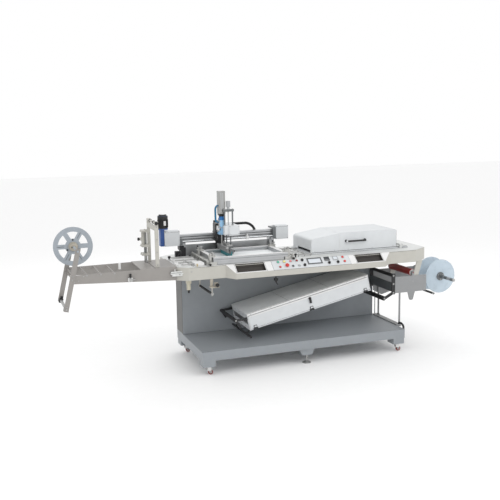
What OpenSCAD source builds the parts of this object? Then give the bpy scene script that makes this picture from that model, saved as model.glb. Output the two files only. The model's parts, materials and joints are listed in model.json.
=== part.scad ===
// Reel-to-reel flat-bed screen printing machine for ribbons and labels.
// X runs along the web from the unwind reel to the rewind reel, Y points to the back, Z is up.
// Sizes are millimetres. Inside the modules X = 0 is the middle of the plinth,
// and Y = 0 is the web's centre line.

/* [Plinth and cabinet] */
// Length of the plinth
plinth_l = 2200; // [2000:10:2700]
// Depth of the plinth
plinth_d = 940; // [880:10:1140]
// Height of the plinth's box
plinth_h = 92; // [60:1:120]
// Height of the plinth's underside above the floor
plinth_clear = 148; // [130:1:180]
// Distance from the plinth's front to the web's centre line
web_to_front = 420; // [400:1:450]
// Depth of the cabinet behind the tunnel
cabinet_d = 240; // [200:5:300]
// Sheet thickness of the casings
sheet = 3; // [2:0.5:5]

/* [Table] */
// Height of the table's top above the floor
table_h = 1050; // [1000:10:1260]
// Thickness of the table's box
table_t = 130; // [105:5:160]
// Overhang of the table past the plinth on the left
over_left = 187; // [150:1:230]
// Overhang of the table past the plinth on the right
over_right = 373; // [360:1:450]
// Distance from the web's centre line to the table's front
table_front = 295; // [280:1:320]
// Thickness of the steel top plate
top_t = 6; // [4:1:10]

/* [Console] */
// Length of the console along its lip
console_l = 1613; // [1600:1:1700]
// How far the lip stands out of the table's front
console_out = 92; // [80:1:110]
// Height of the lip
lip_h = 55; // [45:1:60]
// Diameter of the push buttons
button_d = 22; // [18:1:26]
// Travel of the push buttons
button_travel = 3; // [2:0.5:5]
// Diameter of the emergency stop's head
estop_d = 38; // [30:1:45]

/* [Web path] */
// Width between the web frame's side plates
web_frame_w = 444; // [400:2:460]
// Length of the infeed frame
infeed_l = 960; // [800:10:1160]
// Diameter of the reels
reel_d = 370; // [300:5:440]
// Diameter of the unwind shaft
unwind_d = 20; // [16:1:26]
// Diameter of the rewind shaft
rewind_d = 32; // [26:1:40]
// Clear width between the two rewind discs
disc_gap = 184; // [150:2:220]
// Diameter of the red pull roller
pull_d = 76; // [60:1:92]
// Diameter of the roller journals
journal_d = 12; // [10:1:15]

/* [Printing head] */
// Length of the beam between its end covers
beam_l = 1044; // [1040:4:1100]
// Diameter of the chrome guide rod
guide_d = 22; // [18:1:27]
// Outer length of the printing screen
screen_l = 773; // [740:1:780]
// Outer width of the printing screen
screen_w = 495; // [480:1:520]
// Width and height of the screen's bars
screen_bar = 40; // [34:1:42]
// Length of the squeegee
squeegee_l = 340; // [280:5:400]

/* [Dryer] */
// Length of the dryer's hood
hood_l = 990; // [830:5:1000]
// Height of the dryer's hood
hood_h = 190; // [160:1:230]
// Length of the drying tunnel
tunnel_l = 1370; // [1140:5:1500]
// Height of the drying tunnel
tunnel_h = 175; // [146:1:210]
// Slope of the drying tunnel in degrees
tunnel_tilt = 12.3; // [10:0.1:14]

/* [Casters] */
// Diameter of the caster wheels
wheel_d = 46; // [40:1:55]
// Diameter of the levelling feet
foot_d = 86; // [70:1:104]

/* [Hidden] */
$fn = 48;
fit = 0.05;            // radial running clearance
gap = 0.5;             // clearance between a moving face and its neighbour
side_t = 8;            // thickness of the web frame's side plates

plinth_y0 = -web_to_front;
plinth_y1 = plinth_y0 + plinth_d;
plinth_x1 = plinth_l / 2;
plinth_x0 = -plinth_x1;
plinth_top = plinth_clear + plinth_h;
cabinet_y0 = plinth_y1 - cabinet_d;

table_x0 = plinth_x0 - over_left;
table_x1 = plinth_x1 + over_right;
table_y0 = -table_front;
table_y1 = plinth_y1 - 20;
table_bottom = table_h - table_t;
chamfer_left = [110, 80];
chamfer_right = [177, 122];

frame_in = web_frame_w / 2;        // inner face of a side plate
frame_out = frame_in + side_t;     // outer face of a side plate

// Console
console_mid = 72;
console_x0 = console_mid - console_l / 2;
console_x1 = console_mid + console_l / 2;
console_bevel = [76, 100];         // widening towards the table on the left and right
lip_y = table_y0 - console_out;
lip_bottom = table_bottom - 5;
lip_top = lip_bottom + lip_h;
slope_rise = table_h - 2 - lip_top;
slope_a = atan2(slope_rise, console_out);
slope_len = sqrt(pow(slope_rise, 2) + pow(console_out, 2));
panel_x = [-345, 492];
panel_t = 3;
window_w = 296;
window_s = [14, 114];
window_depth = 34;
window_x = [console_x0 + 16, console_x1 - 16 - window_w];
row_high = 97;                     // upper row of controls, measured up the slope
row_low = 34;                      // lower row of controls
bezel_d = button_d + 7;
bezel_h = 3;
knob_d = 26;
knob_stem = 10;

// Reels
unwind_x = table_x0 - infeed_l + 55;
unwind_z = table_h + 215;
upright_a = 13.5;
upright_w = 45;
upright_top = 26;
upright_len = 565;
upright_roller_at = upright_len - 20;
upright_roller_x = unwind_x - upright_roller_at * sin(upright_a);
upright_roller_z = unwind_z - upright_roller_at * cos(upright_a);
reel_y = 90;
rewind_x = table_x1 + 256;
rewind_z = 695;
disc_t = 6;

// Rewind frame
rewind_x0 = table_x1 - 390;
rewind_x1 = table_x1 - 10;
rewind_top = 762;
rewind_bottom = 587;
strut_t = 8;
pull_x = table_x1 - 173;
pull_z = 792;
post_x = plinth_x1 + 43;
rewind_guide = [table_x1 + 82, 545];

// Printing head
beam_x0 = table_x0 + 182;
beam_x1 = beam_x0 + beam_l;
beam_y = [310, 370];
beam_z = [table_h + 155, table_h + 225];
rod_y_at = 288;
rod_z_at = table_h + 159;
cover_y = [280, 373];
head_x = beam_x0 + 403;            // middle of the squeegee
arm_x = [head_x + 14, head_x + 64];
arm_z = [table_h + 262, table_h + 297];
head_y = 4;                        // middle of the squeegee along Y
guide_pin_d = 12;
guide_pin_y = [-20, 110];
blade_bottom = table_h + 38;
holder_z = [table_h + 76, table_h + 116];
cyl_x = head_x - 38;
cyl_y = 30;
bridge_z = table_h + 478;
bridge_y = -20;
knob_x = head_x + 18;
flood_rod_d = 10;
screen_x0 = head_x - 223;
screen_y0 = -275;
blade_l = min(squeegee_l, 2 * (screen_y0 + screen_w - screen_bar - 5 - head_y));
rail_h = 30;
screen_z = table_h + rail_h;
hose_d = 30;
hose_y = beam_y[1] + 22;

// Dryer
hood_x1 = table_x1 - 313;
hood_x0 = hood_x1 - hood_l;
hood_y = [-120, 350];
hood_base_t = 13;
hood_z0 = table_h + hood_base_t + gap;
hood_z1 = hood_z0 + hood_h;
hood_kink = 320;
hinge_y = hood_y[1] + 12;
hinge_z = hood_z0 + 14;
hinge_pin_d = 8;
tunnel_x = plinth_x0 + 552;
tunnel_z = 354;
tunnel_y = [-241, 238];
door_z = [14, tunnel_h - 26];
door_axis_y = tunnel_y[0] - 8;
door_axis_z = 9;
door_pin_d = 5;
door_hinges = [60, tunnel_l / 2, tunnel_l - 60];
latch_x = tunnel_l / 2;
latch_z = tunnel_h - 47;
latch_pin_d = 8;
arm_t = 8;
lower_roller = [tunnel_x - 149, tunnel_z + 115];
entry_roller = [rewind_x0 - 20, 778];
exit_roller = [rewind_x0 - 127, 541];
return_roller_at = [plinth_x0 + 162, table_bottom - 156];
return_y = [-246, 160];

// Casters
caster_x = plinth_x1 - 68;
bracket_w = 125;
caster_y = [plinth_y0 + bracket_w / 2, plinth_y1 - bracket_w / 2];
caster_top = 88;
caster_trail = 26;
stem_d = 10;
foot_spindle_d = 16;
foot_y = [plinth_y0 + foot_d / 2 + 2, plinth_y1 - foot_d / 2 - 2];

// Whole machine's middle on the floor
ref_x = (unwind_x - reel_d / 2 + rewind_x + reel_d / 2) / 2;
ref_y = (plinth_y0 + plinth_y1) / 2;

// ---------- helpers ----------

// Moves the machine so that the middle of its footprint on the floor is the origin
module place() { translate([-ref_x, -ref_y, 0]) children(); }

// Box from one corner to the opposite corner
module block(a, b) { translate(a) cube(b - a); }

// Closed sheet-metal box
module shell_box(a, b, w = sheet) {
    difference() {
        block(a, b);
        block(a + [w, w, w], b - [w, w, w]);
    }
}

// Round bars along each axis
module bar_x(x0, x1, y, z, d) { translate([x0, y, z]) rotate([0, 90, 0]) cylinder(d = d, h = x1 - x0); }
module bar_y(x, z, y0, y1, d) { translate([x, y0, z]) rotate([-90, 0, 0]) cylinder(d = d, h = y1 - y0); }
module bar_z(x, y, z0, z1, d) { translate([x, y, z0]) cylinder(d = d, h = z1 - z0); }

// Flat plate in the XZ plane, from its outline
module plate_xz(points, y0, t) {
    translate([0, y0 + t, 0]) rotate([90, 0, 0]) linear_extrude(t) polygon(points);
}

// Outline of a flat bar between two points
module link(a, b, w) {
    d = b - a;
    translate(a) rotate(atan2(d[1], d[0])) translate([-w / 2, -w / 2]) square([norm(d) + w, w]);
}

// Flat plate in the XZ plane, from the outlines given as children
module plate_of(y0, t) { translate([0, y0 + t, 0]) rotate([90, 0, 0]) linear_extrude(t) children(); }

// Local frame of the console's slope: X along the machine, Y up the slope, Z out of the panel
module on_slope() { translate([0, lip_y, lip_top]) rotate([slope_a, 0, 0]) children(); }

// Local frame of the tunnel: X along the tunnel from its low end, Z out of its top
module in_tunnel() { translate([tunnel_x, 0, tunnel_z]) rotate([0, -tunnel_tilt, 0]) children(); }

// Plain roller with a journal at each end
module roller(at, y0, y1, d, reach = side_t) {
    bar_y(at[0], at[1], y0, y1, d);
    bar_y(at[0], at[1], y0 - reach, y1 + reach, journal_d);
}

// ---------- plinth and cabinet ----------

module caster_bracket(x, y) {
    low = [x - bracket_w / 2, y - bracket_w / 2, caster_top];
    high = [x + bracket_w / 2, y + bracket_w / 2, plinth_clear];
    difference() {
        union() {
            shell_box(low, high, 4);
            bar_z(x, y, caster_top, plinth_clear, 34);
        }
        bar_z(x, y, caster_top - 1, caster_top + 30, stem_d + 2 * fit);
    }
}

module foot_bracket(y) {
    difference() {
        plate_xz([[-88, plinth_clear], [75, plinth_clear], [48, caster_top], [-57, caster_top]], y - 32, 64);
        bar_z(0, y, caster_top - 1, plinth_clear - 10, foot_spindle_d);
    }
}

module plinth() {
    color("slategray") place() {
        shell_box([plinth_x0, plinth_y0, plinth_clear], [plinth_x1, plinth_y1, plinth_top]);
        for (x = [-caster_x, caster_x], y = caster_y) caster_bracket(x, y);
        for (y = foot_y) foot_bracket(y);
    }
}

module rear_cabinet() {
    color("gray") place()
        shell_box([plinth_x0, cabinet_y0, plinth_top], [plinth_x1, plinth_y1, table_bottom], 2);
}

module levelling_foot(y) {
    translate([0, y, 0]) {
        cylinder(d = foot_d, h = 8);
        translate([0, 0, 8]) cylinder(d1 = foot_d * 0.8, d2 = 30, h = 14);
        cylinder(d = foot_spindle_d, h = plinth_clear - 10);
        translate([0, 0, 46]) cylinder(d = 26, h = 10, $fn = 6);
    }
}

module levelling_feet() {
    color("silver") place() for (y = foot_y) levelling_foot(y);
}

// ---------- table ----------

function table_outline(i) = let (l = chamfer_left, r = chamfer_right, k = 0.4 * i)
    [[table_x0 + i, table_y0 + l[1] + k], [table_x0 + l[0] + k, table_y0 + i],
     [table_x1 - r[0] - k, table_y0 + i], [table_x1 - i, table_y0 + r[1] + k],
     [table_x1 - i, table_y1 - r[1] - k], [table_x1 - r[0] - k, table_y1 - i],
     [table_x0 + l[0] + k, table_y1 - i], [table_x0 + i, table_y1 - l[1] - k]];

module table_slab(z0, z1, inset = 0) {
    translate([0, 0, z0]) linear_extrude(z1 - z0) polygon(table_outline(inset));
}

// Slanted plate that ties the rewind frame to the table
module end_strut(y0) {
    foot = rewind_top - 60;
    lean = (table_bottom - foot) * 0.305;
    plate_xz([[table_x1 - 123, table_bottom], [table_x1 - 55, table_bottom],
        [table_x1 - 55 - lean, foot], [table_x1 - 119 - lean, foot]], y0, strut_t);
}

// Rod that hangs one end of the return roller under the table
module roller_hanger(y0) {
    at = return_roller_at;
    difference() {
        union() {
            bar_z(at[0], y0 + 6, at[1] - 20, table_bottom, 12);
            bar_y(at[0], at[1], y0, y0 + 12, 24);
        }
        bar_y(at[0], at[1], y0 - 1, y0 + 13, journal_d + 2 * fit);
    }
}

module table_frame() {
    color("wheat") place() {
        difference() {
            table_slab(table_bottom, table_h - top_t);
            table_slab(table_bottom + sheet, table_h - top_t - sheet, sheet);
        }
        end_strut(-frame_in - strut_t);
        end_strut(frame_in);
        roller_hanger(return_y[0] - 12 - gap);
        roller_hanger(return_y[1] + gap);
    }
}

module table_top() {
    color("gainsboro") place() {
        table_slab(table_h - top_t, table_h, 5);
        block([screen_x0 + 70, -190, table_h], [screen_x0 + screen_l - 70, 190, table_h + 8]);
    }
}

// ---------- console ----------

module console_solid(i = 0) {
    intersection() {
        translate([console_x0 - 200, 0, 0]) rotate([90, 0, 90]) linear_extrude(console_l + 400)
            polygon([[table_y0, table_bottom + i], [lip_y + i, lip_bottom + i], [lip_y + i, lip_top - 0.5 * i],
                [table_y0, table_h - 2 - 1.4 * i]]);
        translate([0, 0, lip_bottom - 50]) linear_extrude(300)
            polygon([[console_x0 + i, lip_y + i / 2], [console_x1 - i, lip_y + i / 2],
                [console_x1 + console_bevel[1] - i, table_y0 - i / 2],
                [console_x0 - console_bevel[0] + i, table_y0 - i / 2]]);
    }
}

module window_pocket(x, grow = 0) {
    on_slope() block([x - grow, window_s[0] - grow, -window_depth - grow],
        [x + window_w + grow, window_s[1] + grow, 20]);
}

// Places a control at a given distance along the console and up its slope
module control_at(x, s) { on_slope() translate([x, s, 0]) children(); }

function push_spots() = [[-145, row_high], [-78, row_high], [-272, row_low], [-136, row_low], [-70, row_low]];
function knob_spots() = [[-20, row_high], [-11, row_low], [257, row_low + 4], [353, row_low + 4]];
function lamp_spots() = [[-278, row_high], [-212, row_high], [424, row_high], [430, row_low + 8]];
estop_spot = [-198, row_low + 9];

module console_housing() {
    color("wheat") place() difference() {
        union() {
            difference() {
                console_solid();
                console_solid(sheet);
            }
            intersection() {
                console_solid();
                for (x = window_x) window_pocket(x, 2);
            }
        }
        for (x = window_x) window_pocket(x);
        for (p = concat(push_spots(), [estop_spot]))
            control_at(p[0], p[1]) translate([0, 0, -25]) cylinder(d = button_d + 6, h = 60);
        for (p = knob_spots())
            control_at(p[0], p[1]) translate([0, 0, -25]) cylinder(d = knob_stem + 6, h = 60);
    }
}

module instrument(x0, x1, s0, s1, h) { on_slope() block([x0, s0, panel_t], [x1, s1, panel_t + h]); }

module control_panel() {
    color("white") place() difference() {
        union() {
            on_slope() block([panel_x[0], 3, 0], [panel_x[1], slope_len - 3, panel_t]);
            for (p = concat(push_spots(), [estop_spot]))
                control_at(p[0], p[1]) cylinder(d = bezel_d, h = panel_t + bezel_h);
            for (p = knob_spots()) control_at(p[0], p[1]) cylinder(d = knob_d + 4, h = panel_t + 2);
            instrument(30, 186, 38, 114, 4);
            instrument(217, 273, 66, 114, 5);
            instrument(312, 368, 68, 116, 5);
        }
        for (p = concat(push_spots(), [estop_spot]))
            control_at(p[0], p[1]) translate([0, 0, -2]) cylinder(d = button_d + 2 * fit, h = 20);
        for (p = knob_spots())
            control_at(p[0], p[1]) translate([0, 0, -2]) cylinder(d = knob_stem + 2 * fit, h = 20);
    }
}

module pilot_lamps() {
    color("palegreen") place() for (p = lamp_spots()) control_at(p[0], p[1]) translate([0, 0, panel_t]) {
        cylinder(d = bezel_d, h = 3);
        cylinder(d = button_d + 2, h = 9);
    }
}

module push_button(spot, shade) {
    color(shade) place() control_at(spot[0], spot[1]) translate([0, 0, -8])
        cylinder(d = button_d, h = 8 + panel_t + bezel_h + button_travel + 2);
}

module selector(spot) {
    color("black") place() control_at(spot[0], spot[1]) {
        translate([0, 0, -8]) cylinder(d = knob_stem, h = 12 + panel_t);
        translate([0, 0, panel_t + 2 + gap]) cylinder(d = knob_d, h = 12);
        translate([-3, -knob_d / 2, panel_t + 2 + gap + 6]) cube([6, knob_d, 11]);
    }
}

module emergency_stop() {
    color("red") place() control_at(estop_spot[0], estop_spot[1]) {
        translate([0, 0, -8]) cylinder(d = button_d, h = 28);
        translate([0, 0, panel_t + bezel_h + button_travel + 3]) {
            cylinder(d = estop_d, h = 9);
            translate([0, 0, 9]) cylinder(d1 = estop_d, d2 = estop_d - 12, h = 6);
        }
    }
}

module stop_button() { push_button(push_spots()[0], "salmon"); }
module reset_button() { push_button(push_spots()[1], "firebrick"); }
module vacuum_button() { push_button(push_spots()[2], "tomato"); }
module jog_button_left() { push_button(push_spots()[3], "darkgray"); }
module jog_button_right() { push_button(push_spots()[4], "darkgray"); }
module upper_selector() { selector(knob_spots()[0]); }
module lower_selector() { selector(knob_spots()[1]); }
module left_heat_knob() { selector(knob_spots()[2]); }
module right_heat_knob() { selector(knob_spots()[3]); }

// ---------- infeed and unwind ----------

infeed_x0 = table_x0 - infeed_l;

module infeed_plate(y0, end) {
    plate_xz([[infeed_x0, table_h - 85], [infeed_x0, table_h - 7], [table_x0 - 360, table_h],
        [end, table_h], [end, table_bottom + 3]], y0, side_t);
}

module infeed_frame() {
    color("rosybrown") place() {
        infeed_plate(-frame_out, table_x0 + 9);
        infeed_plate(frame_in, table_x0);
        for (x = [128, 255, 382]) bar_y(infeed_x0 + x, table_h - 14, -frame_in, frame_in, 12);
        for (z = [table_h - 20, table_h - 68]) bar_y(infeed_x0 + 10, z, -frame_in, frame_in, 12);
        block([table_x0 - 334, -frame_out, table_h], [table_x0 - 201, frame_out, table_h + 6]);
        block([table_x0 - 190, -frame_out, table_h], [table_x0 + 12, frame_out, table_h + 6]);
    }
}

module reel_upright(y0) {
    translate([unwind_x, y0, unwind_z]) rotate([0, upright_a, 0]) difference() {
        translate([-upright_w / 2, 0, -upright_len]) cube([upright_w, side_t, upright_len + upright_top]);
        bar_y(0, 0, -1, side_t + 1, unwind_d + 2 * fit);
        bar_y(0, -upright_roller_at, -1, side_t + 1, journal_d + 2 * fit);
    }
}

module reel_uprights() {
    color("tan") place() {
        reel_upright(-frame_out - side_t);
        reel_upright(frame_out);
    }
}

module unwind_reel() {
    color("lightsteelblue") place() translate([unwind_x, 0, unwind_z]) rotate([-90, 0, 0]) {
        translate([0, 0, -frame_out - side_t - 12]) cylinder(d = unwind_d, h = 2 * (frame_out + side_t) + 24);
        translate([0, 0, reel_y - 26]) cylinder(d = 84, h = 26);
        translate([0, 0, reel_y]) linear_extrude(disc_t) difference() {
            circle(d = reel_d, $fn = 96);
            difference() {
                circle(r = reel_d * 0.378);
                circle(r = 74);
                for (k = [0:2]) rotate(60 * k) square([reel_d, 44], center = true);
            }
        }
    }
}

module upright_roller() {
    at = [upright_roller_x, upright_roller_z];
    color("silver") place() roller(at, -frame_out + gap, frame_out - gap, 26, side_t + 3);
}

module web_guide_stand() {
    x = table_x0 - 165;
    z0 = table_h + 6;
    color("antiquewhite") place() {
        block([x - 17, -200, z0], [x + 17, -182, table_h + 442]);
        block([x - 8, 170, z0], [x + 22, 188, table_h + 432]);
        bar_y(x - 2, table_h + 424, -182, 170, 24);
        block([x - 10, -182, table_h + 352], [x + 10, 170, table_h + 376]);
        for (y = [105, 152]) bar_z(x - 38, y, table_h + 70, table_h + 330, 16);
        for (z = [310, 168, 84]) block([x - 78, 84, table_h + z], [x - 8, 186, table_h + z + 14]);
        bar_x(x - 96, x - 78, 128, table_h + 238, 30);
        block([x - 78, 118, table_h + 182], [x - 48, 138, table_h + 310]);
    }
}

// ---------- printing head ----------

module gear_motor() {
    x = beam_x0 - 160;
    color("royalblue") place() {
        block([x - 34, 292, table_h + 125], [x + 3, 368, table_h + 300]);
        bar_z(x, 330, table_h + 300, table_h + 428, 100);
        bar_z(x, 330, table_h + 428, table_h + 441, 78);
    }
}

module beam_end_covers() {
    color("lightgray") place() {
        shell_box([beam_x0 - 157, cover_y[0], table_h + 120], [beam_x0, cover_y[1], table_h + 274]);
        shell_box([beam_x1, cover_y[0], table_h + 120], [beam_x1 + 142, cover_y[1], table_h + 264]);
    }
}

module carriage_beam() {
    color("silver") place() {
        difference() {
            block([beam_x0, beam_y[0], beam_z[0]], [beam_x1, beam_y[1], beam_z[1]]);
            block([beam_x0 - 1, beam_y[0] + 6, beam_z[0] + 6], [beam_x1 + 1, beam_y[1] - 6, beam_z[1] - 6]);
            for (z = [0.33, 0.67]) block([beam_x0 - 1, beam_y[0] - 1, beam_z[0] + 70 * z - 4],
                [beam_x1 + 1, beam_y[0] + 4, beam_z[0] + 70 * z + 4]);
        }
        block([beam_x0 + 64, 340, table_h], [beam_x1 - 64, 346, table_h + 118]);
        for (x = [beam_x0 + 14, beam_x1 - 64]) {
            block([x, 300, table_h], [x + 50, 380, beam_z[0]]);
            block([x + 10, rod_y_at - 16, table_h + 120], [x + 40, 300, beam_z[0] - 12]);
        }
        for (x = [beam_x0, beam_x1 - 12])
            block([x, rod_y_at - 14, rod_z_at - 20], [x + 12, 310, rod_z_at + 14]);
        bar_x(beam_x0 + 12, beam_x1 - 12, rod_y_at, rod_z_at, guide_d);
        block([beam_x0 + 80, beam_y[1], beam_z[0] + 4], [beam_x1 - 10, beam_y[1] + 46, beam_z[0] + 8]);
        block([beam_x0 + 80, beam_y[1] + 42, beam_z[0] + 8], [beam_x1 - 10, beam_y[1] + 46, beam_z[0] + 30]);
    }
}

module carriage_plate() {
    x0 = head_x - 32;
    x1 = arm_x[1];
    color("dimgray") place() {
        block([x0, 254, table_h + 56], [x1, 268, table_h + 272]);
        block([x0 + 4, 268, beam_z[1] + 4], [x1 - 4, 378, beam_z[1] + 14]);
        difference() {
            block([x0 + 4, 268, rod_z_at - 18], [x1 - 4, beam_y[0] - 2, rod_z_at + 18]);
            bar_x(x0, x1, rod_y_at, rod_z_at, guide_d + 2 * fit);
        }
        bar_z(head_x - 6, 330, beam_z[1] + 14, table_h + 352, 50);
        difference() {
            block([arm_x[0], -58, arm_z[0]], [arm_x[1], 254, arm_z[1]]);
            for (y = guide_pin_y) bar_z(head_x + 39, y, arm_z[0] - 1, arm_z[1] + 1, guide_pin_d + 2 * fit);
        }
        block([head_x - 16, 8, arm_z[0] + 2], [arm_x[0], 52, arm_z[0] + 30]);
        block([arm_x[0] + 8, 0, arm_z[1]], [arm_x[1] - 8, 80, table_h + 336]);
    }
}

module carriage_cover() {
    low = [head_x + 10, -70, table_h + 241];
    high = [head_x + 118, 175, table_h + 339];
    color("whitesmoke") place() {
        difference() {
            block(low, high);
            block([low[0] + 3, low[1] + 3, low[2] - 1], [high[0] - 3, high[1] + 1, high[2] - 3]);
            block([low[0] - 1, 4, arm_z[0]], [low[0] + 4, 56, arm_z[0] + 34]);
        }
        shell_box([head_x - 35, -60, table_h + 250], [head_x + 10, -2, table_h + 339]);
        difference() {
            union() {
                block([head_x - 34, bridge_y - 12, bridge_z], [head_x + 74, bridge_y + 12, bridge_z + 22]);
                for (x = [head_x - 20, head_x + 62]) bar_z(x, bridge_y, table_h + 339, bridge_z, 14);
            }
            bar_z(knob_x, bridge_y, bridge_z - 1, bridge_z + 23, flood_rod_d + 2 * fit);
        }
    }
}

module pressure_knob() {
    color("dimgray") place() {
        bar_z(knob_x, bridge_y, table_h + 341, bridge_z + 48, flood_rod_d);
        bar_z(knob_x, bridge_y, bridge_z - 8, bridge_z - gap, 18);
        bar_z(knob_x, bridge_y, bridge_z + 22 + gap, bridge_z + 46, 30);
        bar_z(knob_x, bridge_y, bridge_z + 46, bridge_z + 102, 44);
    }
}

// Bent hose piece in the XZ plane round (cx, cz), from angle a0 over a sweep
module hose_bend(cx, cz, y, r, d, a0, sweep) {
    translate([cx, y, cz]) rotate([90, 0, 0]) rotate([0, 0, a0])
        rotate_extrude(angle = sweep, $fn = 64) translate([r, 0]) circle(d = d, $fn = 24);
}

module air_hose(y) {
    hose_bend(cyl_x - 26, table_h + 500, y, 34, 12, 90, 90);
    bar_z(cyl_x - 60, y, table_h + 394, table_h + 500, 12);
    hose_bend(cyl_x - 38, table_h + 394, y, 22, 12, 180, 90);
    bar_x(cyl_x - 38, cyl_x - 30, y, table_h + 372, 12);
}

module squeegee_cylinder() {
    color("skyblue") place() difference() {
        union() {
            block([cyl_x - 32, 0, table_h + 250], [cyl_x + 22, 60, table_h + 390]);
            bar_z(cyl_x, cyl_y, table_h + 390, table_h + 440, 40);
            block([cyl_x - 29, cyl_y - 29, table_h + 440], [cyl_x + 29, cyl_y + 29, table_h + 461]);
            block([cyl_x - 32, cyl_y - 32, table_h + 461], [cyl_x + 32, cyl_y + 32, table_h + 681]);
            air_hose(cyl_y - 9);
            air_hose(cyl_y + 9);
        }
        bar_z(cyl_x, cyl_y, table_h + 240, table_h + 360, flood_rod_d + 2 * fit);
    }
}

module squeegee_holder() {
    color("gray") place() {
        difference() {
            block([head_x - 18, head_y - blade_l / 2, holder_z[0]],
                [head_x + 18, head_y + blade_l / 2, holder_z[1]]);
            block([head_x - 5, head_y - blade_l / 2 - 1, holder_z[0] - 1],
                [head_x + 5, head_y + blade_l / 2 + 1, holder_z[0] + 24]);
        }
        block([head_x - 18, -60, holder_z[1]], [head_x + 55, 140, holder_z[1] + 14]);
        for (y = guide_pin_y) bar_z(head_x + 39, y, holder_z[1] + 14, arm_z[1] + 4, guide_pin_d);
    }
}

module squeegee_blade() {
    color("teal") place() block([head_x - 5, head_y - blade_l / 2 + 2, blade_bottom],
        [head_x + 5, head_y + blade_l / 2 - 2, holder_z[0] + 24]);
}

module flood_bar() {
    color("lightslategray") place() {
        block([cyl_x - 3, head_y - blade_l / 2, table_h + 90],
            [cyl_x + 3, head_y + blade_l / 2, table_h + 124]);
        block([cyl_x - 12, head_y - blade_l / 2 + 20, table_h + 124],
            [cyl_x + 12, head_y + blade_l / 2 - 20, table_h + 142]);
        bar_z(cyl_x, cyl_y, table_h + 142, table_h + 330, flood_rod_d);
    }
}

module energy_hose() {
    z = table_h + 298;
    x0 = arm_x[1];
    color("black") place() {
        bar_x(x0 - 70, x0 + 268, hose_y, z, hose_d);
        hose_bend(x0 + 268, z - 120, hose_y, 120, hose_d, 0, 90);
        block([x0 - 90, 378, beam_z[1] + 4], [x0 - 70, 410, z + 22]);
    }
}

module printing_screen() {
    low = [screen_x0, screen_y0, screen_z];
    high = [screen_x0 + screen_l, screen_y0 + screen_w, screen_z + screen_bar];
    b = [screen_bar, screen_bar, 0];
    color("gainsboro") place() {
        difference() {
            block(low, high);
            block(low + b - [0, 0, 1], high - b + [0, 0, 1]);
        }
        block(low + b + [0, 0, 2], [high[0] - screen_bar, high[1] - screen_bar, screen_z + 3]);
    }
}

// Rail under one end of the screen, with the end at its inner side along +X
module clamp_rail() {
    top = screen_z + screen_bar;
    block([-34, -285, table_h], [34, beam_y[0] - 16, table_h + rail_h]);
    for (y = [screen_y0 + 50, screen_y0 + screen_w - 50]) {
        block([-32, y - 22, table_h + rail_h], [-8, y + 22, top + 2]);
        block([-32, y - 22, top + 2], [32, y + 22, top + 12]);
        bar_z(10, y, top + 12, top + 34, 26);
    }
}

module screen_clamps() {
    color("silver") place() {
        translate([screen_x0, 0, 0]) clamp_rail();
        translate([screen_x0 + screen_l, 0, 0]) mirror([1, 0, 0]) clamp_rail();
    }
}

// ---------- dryer ----------

module hood_base() {
    color("aliceblue") place() {
        block([hood_x0 - 14, hood_y[0] - 10, table_h],
            [table_x1 - 178, hood_y[1] + 24, table_h + hood_base_t]);
        for (x = [hood_x0 + 120, hood_x1 - 120]) {
            for (k = [-1, 1]) {
                block([x + 22 * k - 6, hinge_y - 8, table_h + hood_base_t],
                    [x + 22 * k + 6, hinge_y + 8, hinge_z]);
                bar_x(x + 22 * k - 6, x + 22 * k + 6, hinge_y, hinge_z, 16);
            }
            bar_x(x - 28, x + 28, hinge_y, hinge_z, hinge_pin_d);
        }
    }
}

function hood_profile(i) = [[hood_x0 + i, hood_z0 - 2 * i], [hood_x0 + i, hood_z0 + hood_h * 0.62 - i / 2],
    [hood_x0 + 3 + i, hood_z0 + hood_h * 0.68 - i / 2], [hood_x0 + 12 + i, hood_z0 + hood_h * 0.73 - i],
    [hood_x0 + 28 + i, hood_z0 + hood_h * 0.765 - i], [hood_x0 + hood_kink, hood_z1 - i],
    [hood_x1 - 18, hood_z1 - i], [hood_x1 - i, hood_z1 - 14 - i], [hood_x1 - i, hood_z0 - 2 * i]];

module hood_lid() {
    color("whitesmoke") place() {
        difference() {
            plate_xz(hood_profile(0), hood_y[0], hood_y[1] - hood_y[0]);
            plate_xz(hood_profile(sheet), hood_y[0] + sheet, hood_y[1] - hood_y[0] - 2 * sheet);
            block([hood_x0 - 1, -frame_in + 130, hood_z0 - 1], [hood_x0 + 4, frame_in, hood_z0 + 26]);
            block([hood_x1 - 4, -frame_in + 130, hood_z0 - 1], [hood_x1 + 1, frame_in, hood_z0 + 26]);
        }
        for (x = [hood_x0 + 120, hood_x1 - 120]) difference() {
            union() {
                bar_x(x - 15, x + 15, hinge_y, hinge_z, 16);
                block([x - 15, hood_y[1], hinge_z - 4], [x + 15, hinge_y, hinge_z + 8]);
            }
            bar_x(x - 16, x + 16, hinge_y, hinge_z, hinge_pin_d + 2 * fit);
        }
        hx = hood_x1 - 487;
        hz = hood_z0 + 102;
        bar_x(hx - 118, hx + 118, hood_y[0] - 34, hz, 18);
        for (x = [hx - 108, hx + 108]) bar_y(x, hz, hood_y[0] - 34, hood_y[0], 16);
    }
}

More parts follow.
